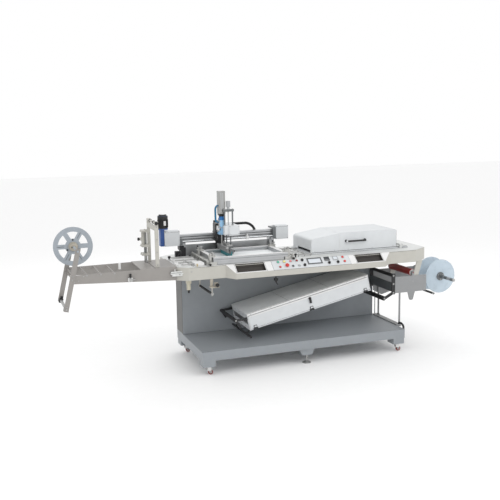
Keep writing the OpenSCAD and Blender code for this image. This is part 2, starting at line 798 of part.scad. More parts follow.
module tunnel_body() {
    color("whitesmoke") place() in_tunnel() {
        difference() {
            shell_box([0, tunnel_y[0], 0], [tunnel_l, tunnel_y[1], tunnel_h]);
            block([22, tunnel_y[0] - 1, door_z[0] + 6], [tunnel_l - 22, tunnel_y[0] + 4, door_z[1] - 6]);
            for (x = [-1, tunnel_l - 4]) block([x, -frame_in + 8, 60], [x + 5, frame_in - 8, 110]);
        }
        for (x = [200, tunnel_l - 260]) block([x, tunnel_y[1], 60], [x + 60, cabinet_y0, 120]);
        for (x = door_hinges) {
            for (k = [-1, 1]) {
                block([x + 17 * k - 5, door_axis_y, door_axis_z - 4],
                    [x + 17 * k + 5, tunnel_y[0], door_axis_z + 4]);
                bar_x(x + 17 * k - 5, x + 17 * k + 5, door_axis_y, door_axis_z, 10);
            }
            bar_x(x - 22, x + 22, door_axis_y, door_axis_z, door_pin_d);
        }
    }
}

module tunnel_door() {
    color("white") place() in_tunnel() {
        difference() {
            union() {
                block([8, tunnel_y[0] - 3 - gap, door_z[0]], [tunnel_l - 8, tunnel_y[0] - gap, door_z[1]]);
                for (x = door_hinges) {
                    bar_x(x - 11.5, x + 11.5, door_axis_y, door_axis_z, 10);
                    block([x - 11.5, door_axis_y - 5, door_axis_z],
                        [x + 11.5, tunnel_y[0] - gap, door_z[0] + 24]);
                }
            }
            bar_y(latch_x, latch_z, tunnel_y[0] - 8, tunnel_y[0] + 1, latch_pin_d + 2 * fit);
            for (x = door_hinges) {
                bar_x(x - 12, x + 12, door_axis_y, door_axis_z, door_pin_d + 2 * fit);
                for (k = [-1, 1]) block([x + 17 * k - 5.4, door_axis_y - 7, door_axis_z - 7],
                    [x + 17 * k + 5.4, tunnel_y[0] + 1, door_axis_z + 7]);
            }
        }
    }
}

module tunnel_latch() {
    color("black") place() in_tunnel() {
        bar_y(latch_x, latch_z, tunnel_y[0] - 16, tunnel_y[0] + 4, latch_pin_d);
        bar_y(latch_x, latch_z, tunnel_y[0] + gap, tunnel_y[0] + 6, 18);
        bar_y(latch_x, latch_z, tunnel_y[0] - 16, tunnel_y[0] - 4, 26);
        block([latch_x - 9, tunnel_y[0] - 22, latch_z - 48], [latch_x + 9, tunnel_y[0] - 6, latch_z + 6]);
    }
}

module tunnel_arm(y0) {
    knee = [entry_roller[0], rewind_bottom + 10];
    // corner of the tunnel's low end where the arm is fixed
    fixed = [tunnel_x - 128 * sin(tunnel_tilt), tunnel_z + 128 * cos(tunnel_tilt)];
    difference() {
        union() {
            plate_of(y0, arm_t) {
                link(lower_roller, fixed + [14, 4], 24);
                link(lower_roller, lower_roller + [46, -72], 20);
            }
            plate_of(y0, arm_t) {
                link(entry_roller, knee, 40);
                link(knee, exit_roller, 30);
            }
        }
        in_tunnel() block([0, -300, 0], [tunnel_l, 300, tunnel_h]);
        for (p = [lower_roller, entry_roller, exit_roller])
            bar_y(p[0], p[1], y0 - 1, y0 + arm_t + 1, journal_d + 2 * fit);
    }
}

module tunnel_arms() {
    rod_at = [tunnel_x - 22, tunnel_z - 46];
    color("black") place() {
        tunnel_arm(-frame_out - arm_t - 3);
        tunnel_arm(frame_out + 3);
        block([rewind_x0 - 38, -frame_out - 3, rewind_bottom + 22],
            [rewind_x0 - 30, frame_out + 3, rewind_bottom + 118]);
        bar_y(rod_at[0], rod_at[1], tunnel_y[0] - 78, tunnel_y[1], 22);
        difference() {
            for (y = [-180, 150]) plate_of(y, 12) link(rod_at, rod_at + [56, 44], 16);
            in_tunnel() block([-5, -300, 0], [tunnel_l, 300, tunnel_h]);
        }
    }
}

module arm_roller(at, d, shade) {
    color(shade) place() roller(at, -frame_out - 3 + gap, frame_out + 3 - gap, d, arm_t + gap);
}

module tunnel_entry_roller() { arm_roller(entry_roller, 36, "black"); }
module tunnel_exit_roller() { arm_roller(exit_roller, 46, "black"); }
module tunnel_lower_roller() { arm_roller(lower_roller, 32, "black"); }

module return_roller() {
    color("black") place() roller(return_roller_at, return_y[0], return_y[1], 24, 12 + gap);
}

module air_filter() {
    x = plinth_x0 - 54;
    y = -190;
    color("khaki") place() {
        block([x - 22, y - 22, table_bottom - 44], [x + 22, y + 22, table_bottom]);
        bar_z(x, y, table_bottom - 108, table_bottom - 44, 38);
        bar_z(x, y, table_bottom - 128, table_bottom - 108, 20);
    }
}

// ---------- rewind ----------

module rewind_side(y0, back) {
    tab_x = rewind_x0 + 199;
    right = back ? [[rewind_x1 + 120, rewind_top], [rewind_x1 + 330, rewind_z + 62],
        [rewind_x1 + 330, rewind_z - 62], [rewind_x1 + 150, rewind_bottom],
        [rewind_guide[0] + 24, rewind_guide[1] - 20], [rewind_guide[0] - 24, rewind_guide[1] - 20],
        [rewind_x1 + 30, rewind_bottom]] : [[rewind_x1, rewind_top], [rewind_x1, rewind_bottom]];
    below = back ? [[rewind_x0 + 300, rewind_bottom - 10], [rewind_x0 + 214, rewind_bottom - 88],
        [rewind_x0 + 104, rewind_bottom - 116], [rewind_x0, rewind_bottom - 60]]
        : [[tab_x + 44, rewind_bottom], [tab_x + 24, rewind_bottom - 76], [tab_x + 13, rewind_bottom - 90],
            [tab_x - 13, rewind_bottom - 90], [tab_x - 24, rewind_bottom - 76],
            [tab_x - 44, rewind_bottom], [rewind_x0, rewind_bottom]];
    difference() {
        union() {
            plate_xz(concat([[rewind_x0, rewind_top]], right, below), y0, side_t);
            plate_of(y0, side_t) link([pull_x, rewind_top], [pull_x, pull_z], journal_d + 14);
        }
        bar_y(pull_x, pull_z, y0 - 1, y0 + side_t + 1, journal_d + 2 * fit);
        if (back) {
            bar_y(rewind_x, rewind_z, y0 - 1, y0 + side_t + 1, rewind_d + 2 * fit);
            bar_y(rewind_guide[0], rewind_guide[1], y0 - 1, y0 + side_t + 1, journal_d + 2 * fit);
        }
    }
}

module rewind_frame() {
    foot = plinth_top + 10;
    color("darkgray") place() {
        rewind_side(-frame_out - side_t, false);
        rewind_side(frame_out, true);
        shell_box([rewind_x - 45, frame_out + side_t + 12, rewind_z - 45],
            [rewind_x + 45, frame_out + side_t + 132, rewind_z + 45]);
        for (k = [-1, 1]) block([rewind_x + 38 * k - 6, frame_out + side_t, rewind_z - 40],
            [rewind_x + 38 * k + 6, frame_out + side_t + 12, rewind_z + 40]);
        bar_z(post_x, -frame_out - side_t / 2, foot, rewind_bottom, 20);
        bar_z(post_x, frame_out - 12, foot, rewind_bottom, 20);
        block([post_x - 10, frame_out - 12, rewind_bottom - 24], [post_x + 10, frame_out, rewind_bottom]);
        bar_z(post_x - 18, frame_out + 38, foot, rewind_bottom + 60, 10);
        block([post_x - 32, frame_out + side_t, rewind_bottom + 20],
            [post_x - 4, frame_out + 50, rewind_bottom + 60]);
        block([plinth_x1, -frame_out - 20, plinth_top - 15], [plinth_x1 + 55, frame_out + 46, foot]);
        bar_y(rewind_x0 + 320, rewind_bottom + 34, -frame_out, frame_out, 20);
    }
}

module rewind_shaft() {
    color("silver") place() {
        bar_y(rewind_x, rewind_z, -disc_gap / 2 - disc_t - 4, frame_out + side_t + 3, rewind_d);
        bar_y(rewind_x, rewind_z, -disc_gap / 2 - disc_t - 8, -disc_gap / 2 - disc_t - 4, rewind_d - 6);
        bar_y(rewind_x, rewind_z, -disc_gap / 2 - 266, -disc_gap / 2 - disc_t - 8, rewind_d);
        bar_y(rewind_x, rewind_z, frame_out - 14, frame_out - gap, rewind_d + 18);
    }
}

module rewind_discs() {
    color("lightcyan") place() for (y = [-disc_gap / 2 - disc_t, disc_gap / 2]) difference() {
        bar_y(rewind_x, rewind_z, y, y + disc_t, reel_d);
        bar_y(rewind_x, rewind_z, y - 1, y + disc_t + 1, rewind_d);
    }
}

module rewind_guide_roller() {
    color("dimgray") place() {
        bar_y(rewind_guide[0], rewind_guide[1], -frame_out - 10, frame_out - gap, 24);
        bar_y(rewind_guide[0], rewind_guide[1], -frame_out - 22, frame_out + side_t + 4, journal_d);
    }
}

module pull_roller() {
    color("darkred") place() roller([pull_x, pull_z], -frame_in + gap, frame_in - gap, pull_d, strut_t + side_t + 3);
}

// ---------- casters ----------

// Swivelling fork that trails its wheel towards +X
module caster_fork(sx, back) {
    color("lightgray") place() translate([sx * caster_x, caster_y[back], 0]) {
        translate([0, 0, caster_top - 6 - gap]) cylinder(d = 46, h = 6);
        translate([0, 0, caster_top - 1]) cylinder(d = stem_d, h = 28);
        for (y = [-16, 13]) difference() {
            plate_xz([[-22, caster_top - 6 - gap], [24, caster_top - 6 - gap], [caster_trail + 9, wheel_d / 2 - 8],
                [caster_trail - 9, wheel_d / 2 - 8]], y, 3);
            bar_y(caster_trail, wheel_d / 2, y - 1, y + 4, 8);
        }
    }
}

module caster_wheel(sx, back) {
    color("firebrick") place() translate([sx * caster_x + caster_trail, caster_y[back], wheel_d / 2]) {
        bar_y(0, 0, -11, 11, wheel_d);
        bar_y(0, 0, -16, 16, 8 - 2 * fit);
    }
}

module caster_fork_front_left() { caster_fork(-1, 0); }
module caster_fork_front_right() { caster_fork(1, 0); }
module caster_fork_back_left() { caster_fork(-1, 1); }
module caster_fork_back_right() { caster_fork(1, 1); }
module caster_wheel_front_left() { caster_wheel(-1, 0); }
module caster_wheel_front_right() { caster_wheel(1, 0); }
module caster_wheel_back_left() { caster_wheel(-1, 1); }
module caster_wheel_back_right() { caster_wheel(1, 1); }

plinth();
rear_cabinet();
table_frame();
table_top();
console_housing();
control_panel();
infeed_frame();
reel_uprights();
web_guide_stand();
gear_motor();
beam_end_covers();
carriage_beam();
hood_base();
rewind_frame();
tunnel_body();
tunnel_arms();
printing_screen();
screen_clamps();
air_filter();
levelling_feet();
pilot_lamps();
unwind_reel();
upright_roller();
rewind_shaft();
rewind_discs();
rewind_guide_roller();
pull_roller();
tunnel_entry_roller();
tunnel_exit_roller();
tunnel_lower_roller();
return_roller();
carriage_plate();
carriage_cover();
squeegee_cylinder();
pressure_knob();
squeegee_holder();
squeegee_blade();
flood_bar();
energy_hose();
hood_lid();
tunnel_door();
tunnel_latch();
caster_fork_front_left();
caster_fork_front_right();
caster_fork_back_left();
caster_fork_back_right();
caster_wheel_front_left();
caster_wheel_front_right();
caster_wheel_back_left();
caster_wheel_back_right();
emergency_stop();
stop_button();
reset_button();
vacuum_button();
jog_button_left();
jog_button_right();
upper_selector();
lower_selector();
left_heat_knob();
right_heat_knob();
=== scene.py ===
import json
from math import atan2, cos, hypot, pi, radians, sin

import bmesh
import bpy
from mathutils import Matrix, Vector


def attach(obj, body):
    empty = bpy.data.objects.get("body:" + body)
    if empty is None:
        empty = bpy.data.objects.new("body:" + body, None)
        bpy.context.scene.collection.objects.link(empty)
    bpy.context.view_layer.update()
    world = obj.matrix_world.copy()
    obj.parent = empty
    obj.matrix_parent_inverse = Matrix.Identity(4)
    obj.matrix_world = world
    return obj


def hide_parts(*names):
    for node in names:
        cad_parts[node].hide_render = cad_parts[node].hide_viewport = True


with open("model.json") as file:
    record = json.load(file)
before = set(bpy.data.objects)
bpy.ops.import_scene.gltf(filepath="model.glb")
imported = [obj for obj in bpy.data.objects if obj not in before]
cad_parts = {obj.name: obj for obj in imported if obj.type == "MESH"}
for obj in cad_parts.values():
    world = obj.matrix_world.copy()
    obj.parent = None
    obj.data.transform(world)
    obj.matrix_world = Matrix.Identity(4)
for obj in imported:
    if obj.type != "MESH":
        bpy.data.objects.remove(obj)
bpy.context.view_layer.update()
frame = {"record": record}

# ---------- the machine's own numbers, in metres in the row frame ----------

REF = Vector((-0.2315, 0.05, 0.0))     # the middle of the footprint in machine coordinates


def M(x, y, z):
    """A point given in millimetres from the plinth's middle and the web's centre line."""
    return Vector((x, y, z)) / 1000 - REF


scene = bpy.context.scene
add = scene.collection.objects.link

# ---------- camera ----------

yaw, pitch, roll = (radians(a) for a in (-19.778, 9.317, -0.852))
back = Vector((sin(yaw) * cos(pitch), -cos(yaw) * cos(pitch), sin(pitch)))
side = Vector((cos(yaw), sin(yaw), 0))
top = back.cross(side)
right = side * cos(roll) + top * sin(roll)
up = top * cos(roll) - side * sin(roll)
cam_data = bpy.data.cameras.new("camera")
cam_data.sensor_width = 36
cam_data.lens = 55.98
cam_data.clip_start, cam_data.clip_end = 0.1, 100
cam = bpy.data.objects.new("camera", cam_data)
cam.matrix_world = Matrix.LocRotScale(
    M(-3073.2, -7286.5, 2393.2), Matrix((right, up, back)).transposed().to_quaternion(), None)
add(cam)
scene.camera = cam

# ---------- light and floor ----------

world = bpy.data.worlds.new("studio")
world.use_nodes = True
world.node_tree.nodes["Background"].inputs["Color"].default_value = (1.0, 1.0, 1.0, 1)
world.node_tree.nodes["Background"].inputs["Strength"].default_value = 1.0
scene.world = world
scene.view_settings.view_transform = "Standard"


def area_light(name, at, to, size, power):
    data = bpy.data.lights.new(name, "AREA")
    data.shape, data.size, data.size_y, data.energy = "RECTANGLE", size[0], size[1], power
    lamp = bpy.data.objects.new(name, data)
    lamp.location = at
    lamp.rotation_euler = (Vector(to) - Vector(at)).to_track_quat("-Z", "Y").to_euler()
    add(lamp)


area_light("key", (2.2, -5.2, 5.0), (0, 0, 0.8), (4.0, 3.0), 90)
area_light("fill", (-4.5, -4.5, 3.0), (0, 0, 0.8), (3.0, 3.0), 16)
area_light("rim", (0.5, 4.5, 4.5), (0, 0, 0.9), (5.0, 2.0), 45)

# ---------- materials ----------

WORN = (0.55, 0.55, 0.55, 1)     # bare metal where paint is worn off an edge
CLOUD_SCALE = 14.0
EDGE_RADIUS = 0.0012             # metres
RELIEF_DEPTH = 0.0006            # metres


def material(name, color, rough=0.45, metal=0.0, spread=0.05, bump=0.06, bump_scale=260.0,
             wear=0.0, coat=0.0, alpha=1.0, grain=None):
    """Paint, metal or plastic: cloudy colour and gloss, fine relief, rounded and optionally worn edges."""
    mat = bpy.data.materials.new(name)
    mat.use_nodes = True
    n, link = mat.node_tree.nodes, mat.node_tree.links.new

    def node(kind, **values):
        made = n.new("ShaderNode" + kind)
        for key, value in values.items():
            made.inputs[key.replace("_", " ")].default_value = value
        return made

    shader = n["Principled BSDF"]
    where = node("TexCoord").outputs["Object"]
    fine_at = where
    if grain:
        stretch = node("Mapping", Scale=grain)
        link(where, stretch.inputs["Vector"])
        fine_at = stretch.outputs["Vector"]
    cloud = node("TexNoise", Scale=CLOUD_SCALE, Detail=5)
    link(where, cloud.inputs["Vector"])
    fine = node("TexNoise", Scale=bump_scale, Detail=3)
    link(fine_at, fine.inputs["Vector"])
    ramp = node("ValToRGB")
    dark = [max(0, c * (1 - spread)) for c in color]
    light = [min(1, c * (1 + spread * 0.7) + spread * 0.02) for c in color]
    low, high = ramp.color_ramp.elements
    low.position, low.color = 0.30, (*dark, 1)
    high.position, high.color = 0.70, (*light, 1)
    link(cloud.outputs["Fac"], ramp.inputs["Fac"])
    base = ramp.outputs["Color"]
    bevel = node("Bevel", Radius=EDGE_RADIUS)
    bevel.samples = 4
    if wear:
        geo = node("NewGeometry")
        dot = node("VectorMath")
        dot.operation = "DOT_PRODUCT"
        link(bevel.outputs["Normal"], dot.inputs[0])
        link(geo.outputs["Normal"], dot.inputs[1])
        at_edge = node("MapRange", From_Min=0.995, From_Max=0.90)
        link(dot.outputs["Value"], at_edge.inputs["Value"])
        spots = node("MapRange", From_Min=0.42, From_Max=0.62)
        link(cloud.outputs["Fac"], spots.inputs["Value"])
        mask, much = node("Math"), node("Math")
        mask.operation = much.operation = "MULTIPLY"
        link(at_edge.outputs["Result"], mask.inputs[0])
        link(spots.outputs["Result"], mask.inputs[1])
        link(mask.outputs["Value"], much.inputs[0])
        much.inputs[1].default_value = wear
        mix = node("Mix")
        mix.data_type = "RGBA"
        colors = [s for s in mix.inputs if s.type == "RGBA"]
        colors[1].default_value = WORN
        link(much.outputs["Value"], mix.inputs["Factor"])
        link(base, colors[0])
        base = [s for s in mix.outputs if s.type == "RGBA"][0]
    link(base, shader.inputs["Base Color"])
    gloss = node("MapRange", To_Min=max(0.04, rough - 0.07), To_Max=min(1.0, rough + 0.09))
    link(cloud.outputs["Fac"], gloss.inputs["Value"])
    link(gloss.outputs["Result"], shader.inputs["Roughness"])
    relief = node("Bump", Strength=bump, Distance=RELIEF_DEPTH)
    link(fine.outputs["Fac"], relief.inputs["Height"])
    link(bevel.outputs["Normal"], relief.inputs["Normal"])
    link(relief.outputs["Normal"], shader.inputs["Normal"])
    shader.inputs["Metallic"].default_value = metal
    shader.inputs["Coat Weight"].default_value = coat
    shader.inputs["IOR"].default_value = 1.45
    shader.inputs["Alpha"].default_value = alpha
    return mat


PAINT = dict(rough=0.42, spread=0.03, bump=0.10, bump_scale=420.0, wear=0.35)
mats = {}


def paint(name, color, **look):
    """Make a material and keep it under its name."""
    mats[name] = material(name, color, **look)


paint("grey_paint", (0.27, 0.29, 0.31), **PAINT)
paint("beige_paint", (0.47, 0.46, 0.42), **PAINT)
paint("warm_grey_paint", (0.29, 0.275, 0.26), **PAINT)
paint("dark_grey_paint", (0.27, 0.275, 0.28), **PAINT)
paint("white_paint", (0.62, 0.64, 0.655), **PAINT)
paint("black_paint", (0.018, 0.018, 0.02), rough=0.4, spread=0.2, wear=0.3)
paint("blue_paint", (0.03, 0.09, 0.30), rough=0.4, spread=0.1, wear=0.3)
paint("steel_plate", (0.50, 0.50, 0.48), rough=0.42, metal=0.75, spread=0.06, grain=(6, 260, 260),
    bump_scale=5.0, bump=0.12)
paint("zinc_steel", (0.42, 0.42, 0.415), rough=0.32, metal=0.85, spread=0.08)
paint("aluminium", (0.46, 0.47, 0.48), rough=0.36, metal=0.85, spread=0.05, grain=(4, 200, 200),
    bump_scale=6.0)
paint("chrome", (0.46, 0.47, 0.48), rough=0.2, metal=1.0, spread=0.02)
paint("beige_plastic", (0.55, 0.52, 0.42), rough=0.5)
paint("black_plastic", (0.012, 0.012, 0.013), rough=0.35, spread=0.2, bump=0.15)
paint("red_plastic", (0.55, 0.02, 0.015), rough=0.3, coat=0.4)
paint("grey_plastic", (0.09, 0.095, 0.10), rough=0.35)
paint("lamp_plastic", (0.10, 0.45, 0.12), rough=0.22, coat=0.5)
paint("pale_blue_plastic", (0.50, 0.57, 0.62), rough=0.5, bump=0.15)
paint("clear_plastic", (0.62, 0.72, 0.80), rough=0.28, alpha=0.62)
paint("red_rubber", (0.27, 0.022, 0.018), rough=0.34, spread=0.15)
paint("black_rubber", (0.014, 0.014, 0.015), rough=0.55, spread=0.2)
paint("blade_rubber", (0.03, 0.22, 0.25), rough=0.5)
paint("wheel_rubber", (0.20, 0.03, 0.02), rough=0.55)
for part in frame["record"]["subparts"]:
    shown = bpy.data.objects.get(part["node"])
    if shown and part["material_slot"] in mats:
        for k in range(max(1, len(shown.material_slots))):
            if not shown.material_slots:
                shown.data.materials.append(None)
            shown.material_slots[k].material = mats[part["material_slot"]]

paint("lens_green", (0.10, 0.42, 0.30), rough=0.2, coat=0.6)
paint("lens_yellow", (0.80, 0.72, 0.22), rough=0.2, coat=0.6)
paint("lens_pink", (0.72, 0.22, 0.24), rough=0.2, coat=0.6)
paint("lens_red", (0.60, 0.05, 0.04), rough=0.2, coat=0.6)
paint("lens_dark_red", (0.28, 0.02, 0.02), rough=0.2, coat=0.6)
paint("light_grey_plastic", (0.38, 0.39, 0.40), rough=0.35)
paint("display", (0.62, 0.66, 0.70), rough=0.15, coat=0.6, spread=0.03)
paint("dark_display", (0.03, 0.035, 0.04), rough=0.12, coat=0.6)
# dark colour that paints the shade inside the console's window recesses
paint("liner", (0.045, 0.040, 0.035), rough=0.6, spread=0.12)
paint("gasket", (0.03, 0.03, 0.032), rough=0.7, spread=0.2)
paint("petrol_hose", (0.005, 0.12, 0.24), rough=0.3, coat=0.3)
paint("light_blue", (0.28, 0.50, 0.72), rough=0.35, spread=0.06)
paint("clamp_blue", (0.02, 0.15, 0.42), rough=0.35)
paint("cylinder_grey", (0.36, 0.36, 0.35), rough=0.34, metal=0.6, grain=(200, 200, 4), bump_scale=5.0)
paint("hub_beige", (0.40, 0.37, 0.31), rough=0.45, metal=0.2)
paint("reel_grey", (0.33, 0.365, 0.40), rough=0.5, spread=0.04)
paint("fascia", (0.74, 0.74, 0.735), rough=0.38, spread=0.02, wear=0.2)
paint("mesh_white", (0.88, 0.90, 0.91), rough=0.5, spread=0.02, bump=0.3, bump_scale=2600)
paint("brass", (0.50, 0.38, 0.16), rough=0.35, metal=0.9)
paint("dark_steel", (0.16, 0.17, 0.175), rough=0.4, metal=0.6, spread=0.1, wear=0.3)
# dark grey that paints the shade on the cabinet's left side
paint("side_grey", (0.115, 0.115, 0.112), rough=0.5)
paint("table_plate", (0.66, 0.67, 0.66), rough=0.4, metal=0.35, spread=0.05, grain=(5, 240, 240),
    bump_scale=5.0, bump=0.1)
for node, name in {
    "stop_button": "lens_pink", "reset_button": "lens_dark_red", "vacuum_button": "lens_red",
    "jog_button_left": "grey_plastic", "jog_button_right": "light_grey_plastic",
    "pilot_lamps": "lens_green", "unwind_reel": "reel_grey", "table_top": "table_plate",
    "pressure_knob": "light_grey_plastic", "squeegee_holder": "dark_steel",
    "rewind_guide_roller": "black_plastic",
}.items():
    shown = bpy.data.objects[node]
    for k in range(len(shown.material_slots)):
        shown.material_slots[k].material = mats[name]

# ---------- mesh tools: every size below is in millimetres of the machine's own frame ----------

UP, FRONT, REAR, RIGHT, LEFT = (0, 0, 1), (0, -1, 0), (0, 1, 0), (1, 0, 0), (-1, 0, 0)
SHARP, SMOOTH = radians(50), radians(38)     # face angles: edges bevelled above, shaded smooth below
lip_y, lip_top = -387.0, 970.0               # lower edge of the console's slope
rise, run = 78.0, 92.0
slope_len = hypot(rise, run)
SLOPE = Matrix.Translation((0, lip_y, lip_top)) @ Matrix.Rotation(atan2(rise, run), 4, "X")
TUNNEL = Matrix.Translation((-548, 0, 354)) @ Matrix.Rotation(-radians(12.3), 4, "Y")
UPRIGHT = Matrix.Translation((-2192, 0, 1265)) @ Matrix.Rotation(radians(13.5), 4, "Y")


def circle(n):
    """Cosine and sine at n equal steps of a full turn."""
    return [(cos(2 * pi * k / n), sin(2 * pi * k / n)) for k in range(n)]


def knurled(n, r_even, r_odd):
    """Outline of a knurled round."""
    return [(r * c, r * w) for (c, w), r in zip(circle(n), [r_even, r_odd] * (n // 2))]


class Piece:
    """One visible piece: shapes are added one by one, then done() bevels, shades and attaches it."""

    def __init__(self, name, mat, body="frame", at=None, bevel=0, slot=None):
        self.name, self.mat, self.body, self.at = name, mat, body, at or Matrix.Identity(4)
        self.bevel, self.slot, self.bm = bevel, slot, bmesh.new()

    def faces(self, rings):
        """Skin over rings with equal numbers of points, closed at both ends."""
        rows = [[self.bm.verts.new(p) for p in ring] for ring in rings]
        n = len(rows[0])
        for low, high in zip(rows, rows[1:]):
            for i in range(n):
                self.bm.faces.new((low[i], low[(i + 1) % n], high[(i + 1) % n], high[i]))
        self.bm.faces.new(rows[0][::-1])
        self.bm.faces.new(rows[-1])
        return self

    def box(self, a, b):
        a, b = [min(p) for p in zip(a, b)], [max(p) for p in zip(a, b)]
        flat = [(a[0], a[1]), (b[0], a[1]), (b[0], b[1]), (a[0], b[1])]
        return self.faces([[(x, y, z) for x, y in flat] for z in (a[2], b[2])])

    def lathe(self, origin, axis, profile, n=28):
        """profile: (distance along the axis, radius) from one end to the other."""
        axis = Vector(axis).normalized()
        u = axis.orthogonal().normalized()
        v = axis.cross(u)
        return self.faces([[Vector(origin) + axis * d + (u * c + v * w) * r for c, w in circle(n)]
                           for d, r in profile])

    def rod(self, a, b, r, n=24, chamfer=0.8):
        a, b = Vector(a), Vector(b)
        length = (b - a).length
        c = min(chamfer, r * 0.4, length * 0.3)
        return self.lathe(a, b - a, [(0, r - c), (c, r), (length - c, r), (length, r - c)], n)

    def bolt(self, at, axis, r=4.0, h=4.0, n=16):
        """Socket-head screw with its recess, on a thin washer."""
        return self.lathe(at, axis, [(0, r * 1.45), (h * 0.22, r * 1.45), (h * 0.24, r), (h * 0.85, r),
                                     (h, r * 0.88), (h, r * 0.5), (h * 0.45, r * 0.46)], n)

    def tube(self, points, r, n=14, steps=8, ribs=0.0, pitch=5.0):
        """Round hose through the points, on a smooth path, with optional corrugation."""
        p = [Vector(q) for q in points]
        p = [2 * p[0] - p[1]] + p + [2 * p[-1] - p[-2]]
        path = []
        for i in range(1, len(p) - 2):
            for k in range(steps):
                t = k / steps
                path.append(0.5 * ((2 * p[i]) + (p[i + 1] - p[i - 1]) * t
                            + (2 * p[i - 1] - 5 * p[i] + 4 * p[i + 1] - p[i + 2]) * t * t
                            + (3 * p[i] - p[i - 1] - 3 * p[i + 1] + p[i + 2]) * t ** 3))
        path.append(p[-2])
        if ribs:
            dense = []
            for q0, q1 in zip(path, path[1:]):
                count = max(1, round((q1 - q0).length / (pitch / 4)))
                dense += [q0.lerp(q1, k / count) for k in range(count)]
            path = dense + [path[-1]]
            radii = [r - ribs * (0.5 + 0.5 * cos(pi * k / 2)) for k in range(len(path))]
        else:
            radii = [r] * len(path)
        u, rings = None, []
        for k, q in enumerate(path):
            t = (path[min(k + 1, len(path) - 1)] - path[max(k - 1, 0)]).normalized()
            u = t.orthogonal().normalized() if u is None else (u - t * u.dot(t)).normalized()
            v = t.cross(u)
            rings.append([q + (u * c + v * w) * radii[k] for c, w in circle(n)])
        return self.faces(rings)

    def prism(self, outline, vec):
        """Outline (3D points) pushed along a vector."""
        vec = Vector(vec)
        return self.faces([[Vector(p) for p in outline], [Vector(p) + vec for p in outline]])

    def frame_sheet(self, outer, inner, vec):
        """Sheet between an outer and an inner outline with the same number of corners."""
        n = len(outer)
        for i in range(n):
            j = (i + 1) % n
            self.prism([outer[i], outer[j], inner[j], inner[i]], vec)
        return self

    def done(self):
        bm = self.bm
        bmesh.ops.recalc_face_normals(bm, faces=bm.faces)
        if self.bevel:
            sharp = [e for e in bm.edges if len(e.link_faces) == 2 and e.calc_face_angle(0) > SHARP]
            bmesh.ops.bevel(bm, geom=sharp, offset=self.bevel, segments=2, affect="EDGES",
                clamp_overlap=True)
        for f in bm.faces:
            f.smooth = True
        for e in bm.edges:
            e.smooth = len(e.link_faces) == 2 and e.calc_face_angle(0) < SMOOTH
        bm.transform(Matrix.Translation(-REF) @ Matrix.Scale(0.001, 4) @ self.at)
        mesh = bpy.data.meshes.new(self.name)
        bm.to_mesh(mesh)
        bm.free()
        mesh.materials.append(mats[self.mat])
        obj = bpy.data.objects.new(self.name, mesh)
        add(obj)
        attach(obj, self.body)
        return obj


# ---------- console ----------


def on(x, s, n=0.0):
    """A point on the slope: x along the machine, s up the slope, n off its face."""
    return Vector((x, s, n))


window_w, window_s0, window_s1, tray_depth = 296, 14, 114, 33.8


def fascia(name, x0, x1, grow0, grow1, wx):
    """White sheet from x0 to x1 whose ends lean by grow, with a window at wx and a tray behind it; the tray
    is dark to paint the shade inside the recess.
    """
    def edge(x, grow, s):
        return on(x - grow * s / slope_len, s, 0.1)
    s0, s1 = 2.0, slope_len - 2
    x2 = wx + window_w
    outer = [edge(x0, grow0, s0), edge(x1, grow1, s0), edge(x1, grow1, s1), edge(x0, grow0, s1)]
    inner = [on(x, s, 0.1) for x, s in ((wx, window_s0), (x2, window_s0), (x2, window_s1), (wx, window_s1))]
    Piece(name, "fascia", at=SLOPE, bevel=0.3).frame_sheet(outer, inner, (0, 0, 1.4)).done()
    seams = Piece(name + "_seams", "gasket", at=SLOPE, bevel=0.2)
    for x in (wx - 7, x2 + 7):
        seams.box((x - 1.0, 6, 1.4), (x + 1.0, 116, 2.0))
    for s0, s1 in ((window_s0 - 2, window_s0), (window_s1, window_s1 + 1.6)):
        seams.box((wx - 2, s0, 1.3), (x2 + 2, s1, 2.2))
    seams.done()
    screws = Piece(name + "_screws", "zinc_steel", at=SLOPE)
    for x in (wx - 11, x2 + 11):
        for s in (10, 111):
            screws.bolt(on(x, s, 1.4), UP, 2.6, 2.0, 12)
    screws.done()
    # dark tray lining the window recess: painted shade
    tray = Piece(name + "_tray", "liner", at=SLOPE, bevel=0.8)
    t, low, high = 1.2, -tray_depth, 0.6
    x0, x1, s0, s1 = wx + 0.4, x2 - 0.4, window_s0 + 0.4, window_s1 - 0.4
    tray.box((x0, s0, low), (x1, s1, low + t))
    for a, b in (((x0, s0), (x0 + t, s1)), ((x1 - t, s0), (x1, s1)), ((x0, s0), (x1, s0 + t)),
        ((x0, s1 - t), (x1, s1))):
        tray.box((*a, low), (*b, high))
    tray.done()
    # dark strip at the back of the recess: painted shade
    Piece(name + "_tray_back", "liner", bevel=0.2).box(
        (wx + 1.6, -296.4, 1004), (x2 - 1.6, -295.02, 1029)).done()


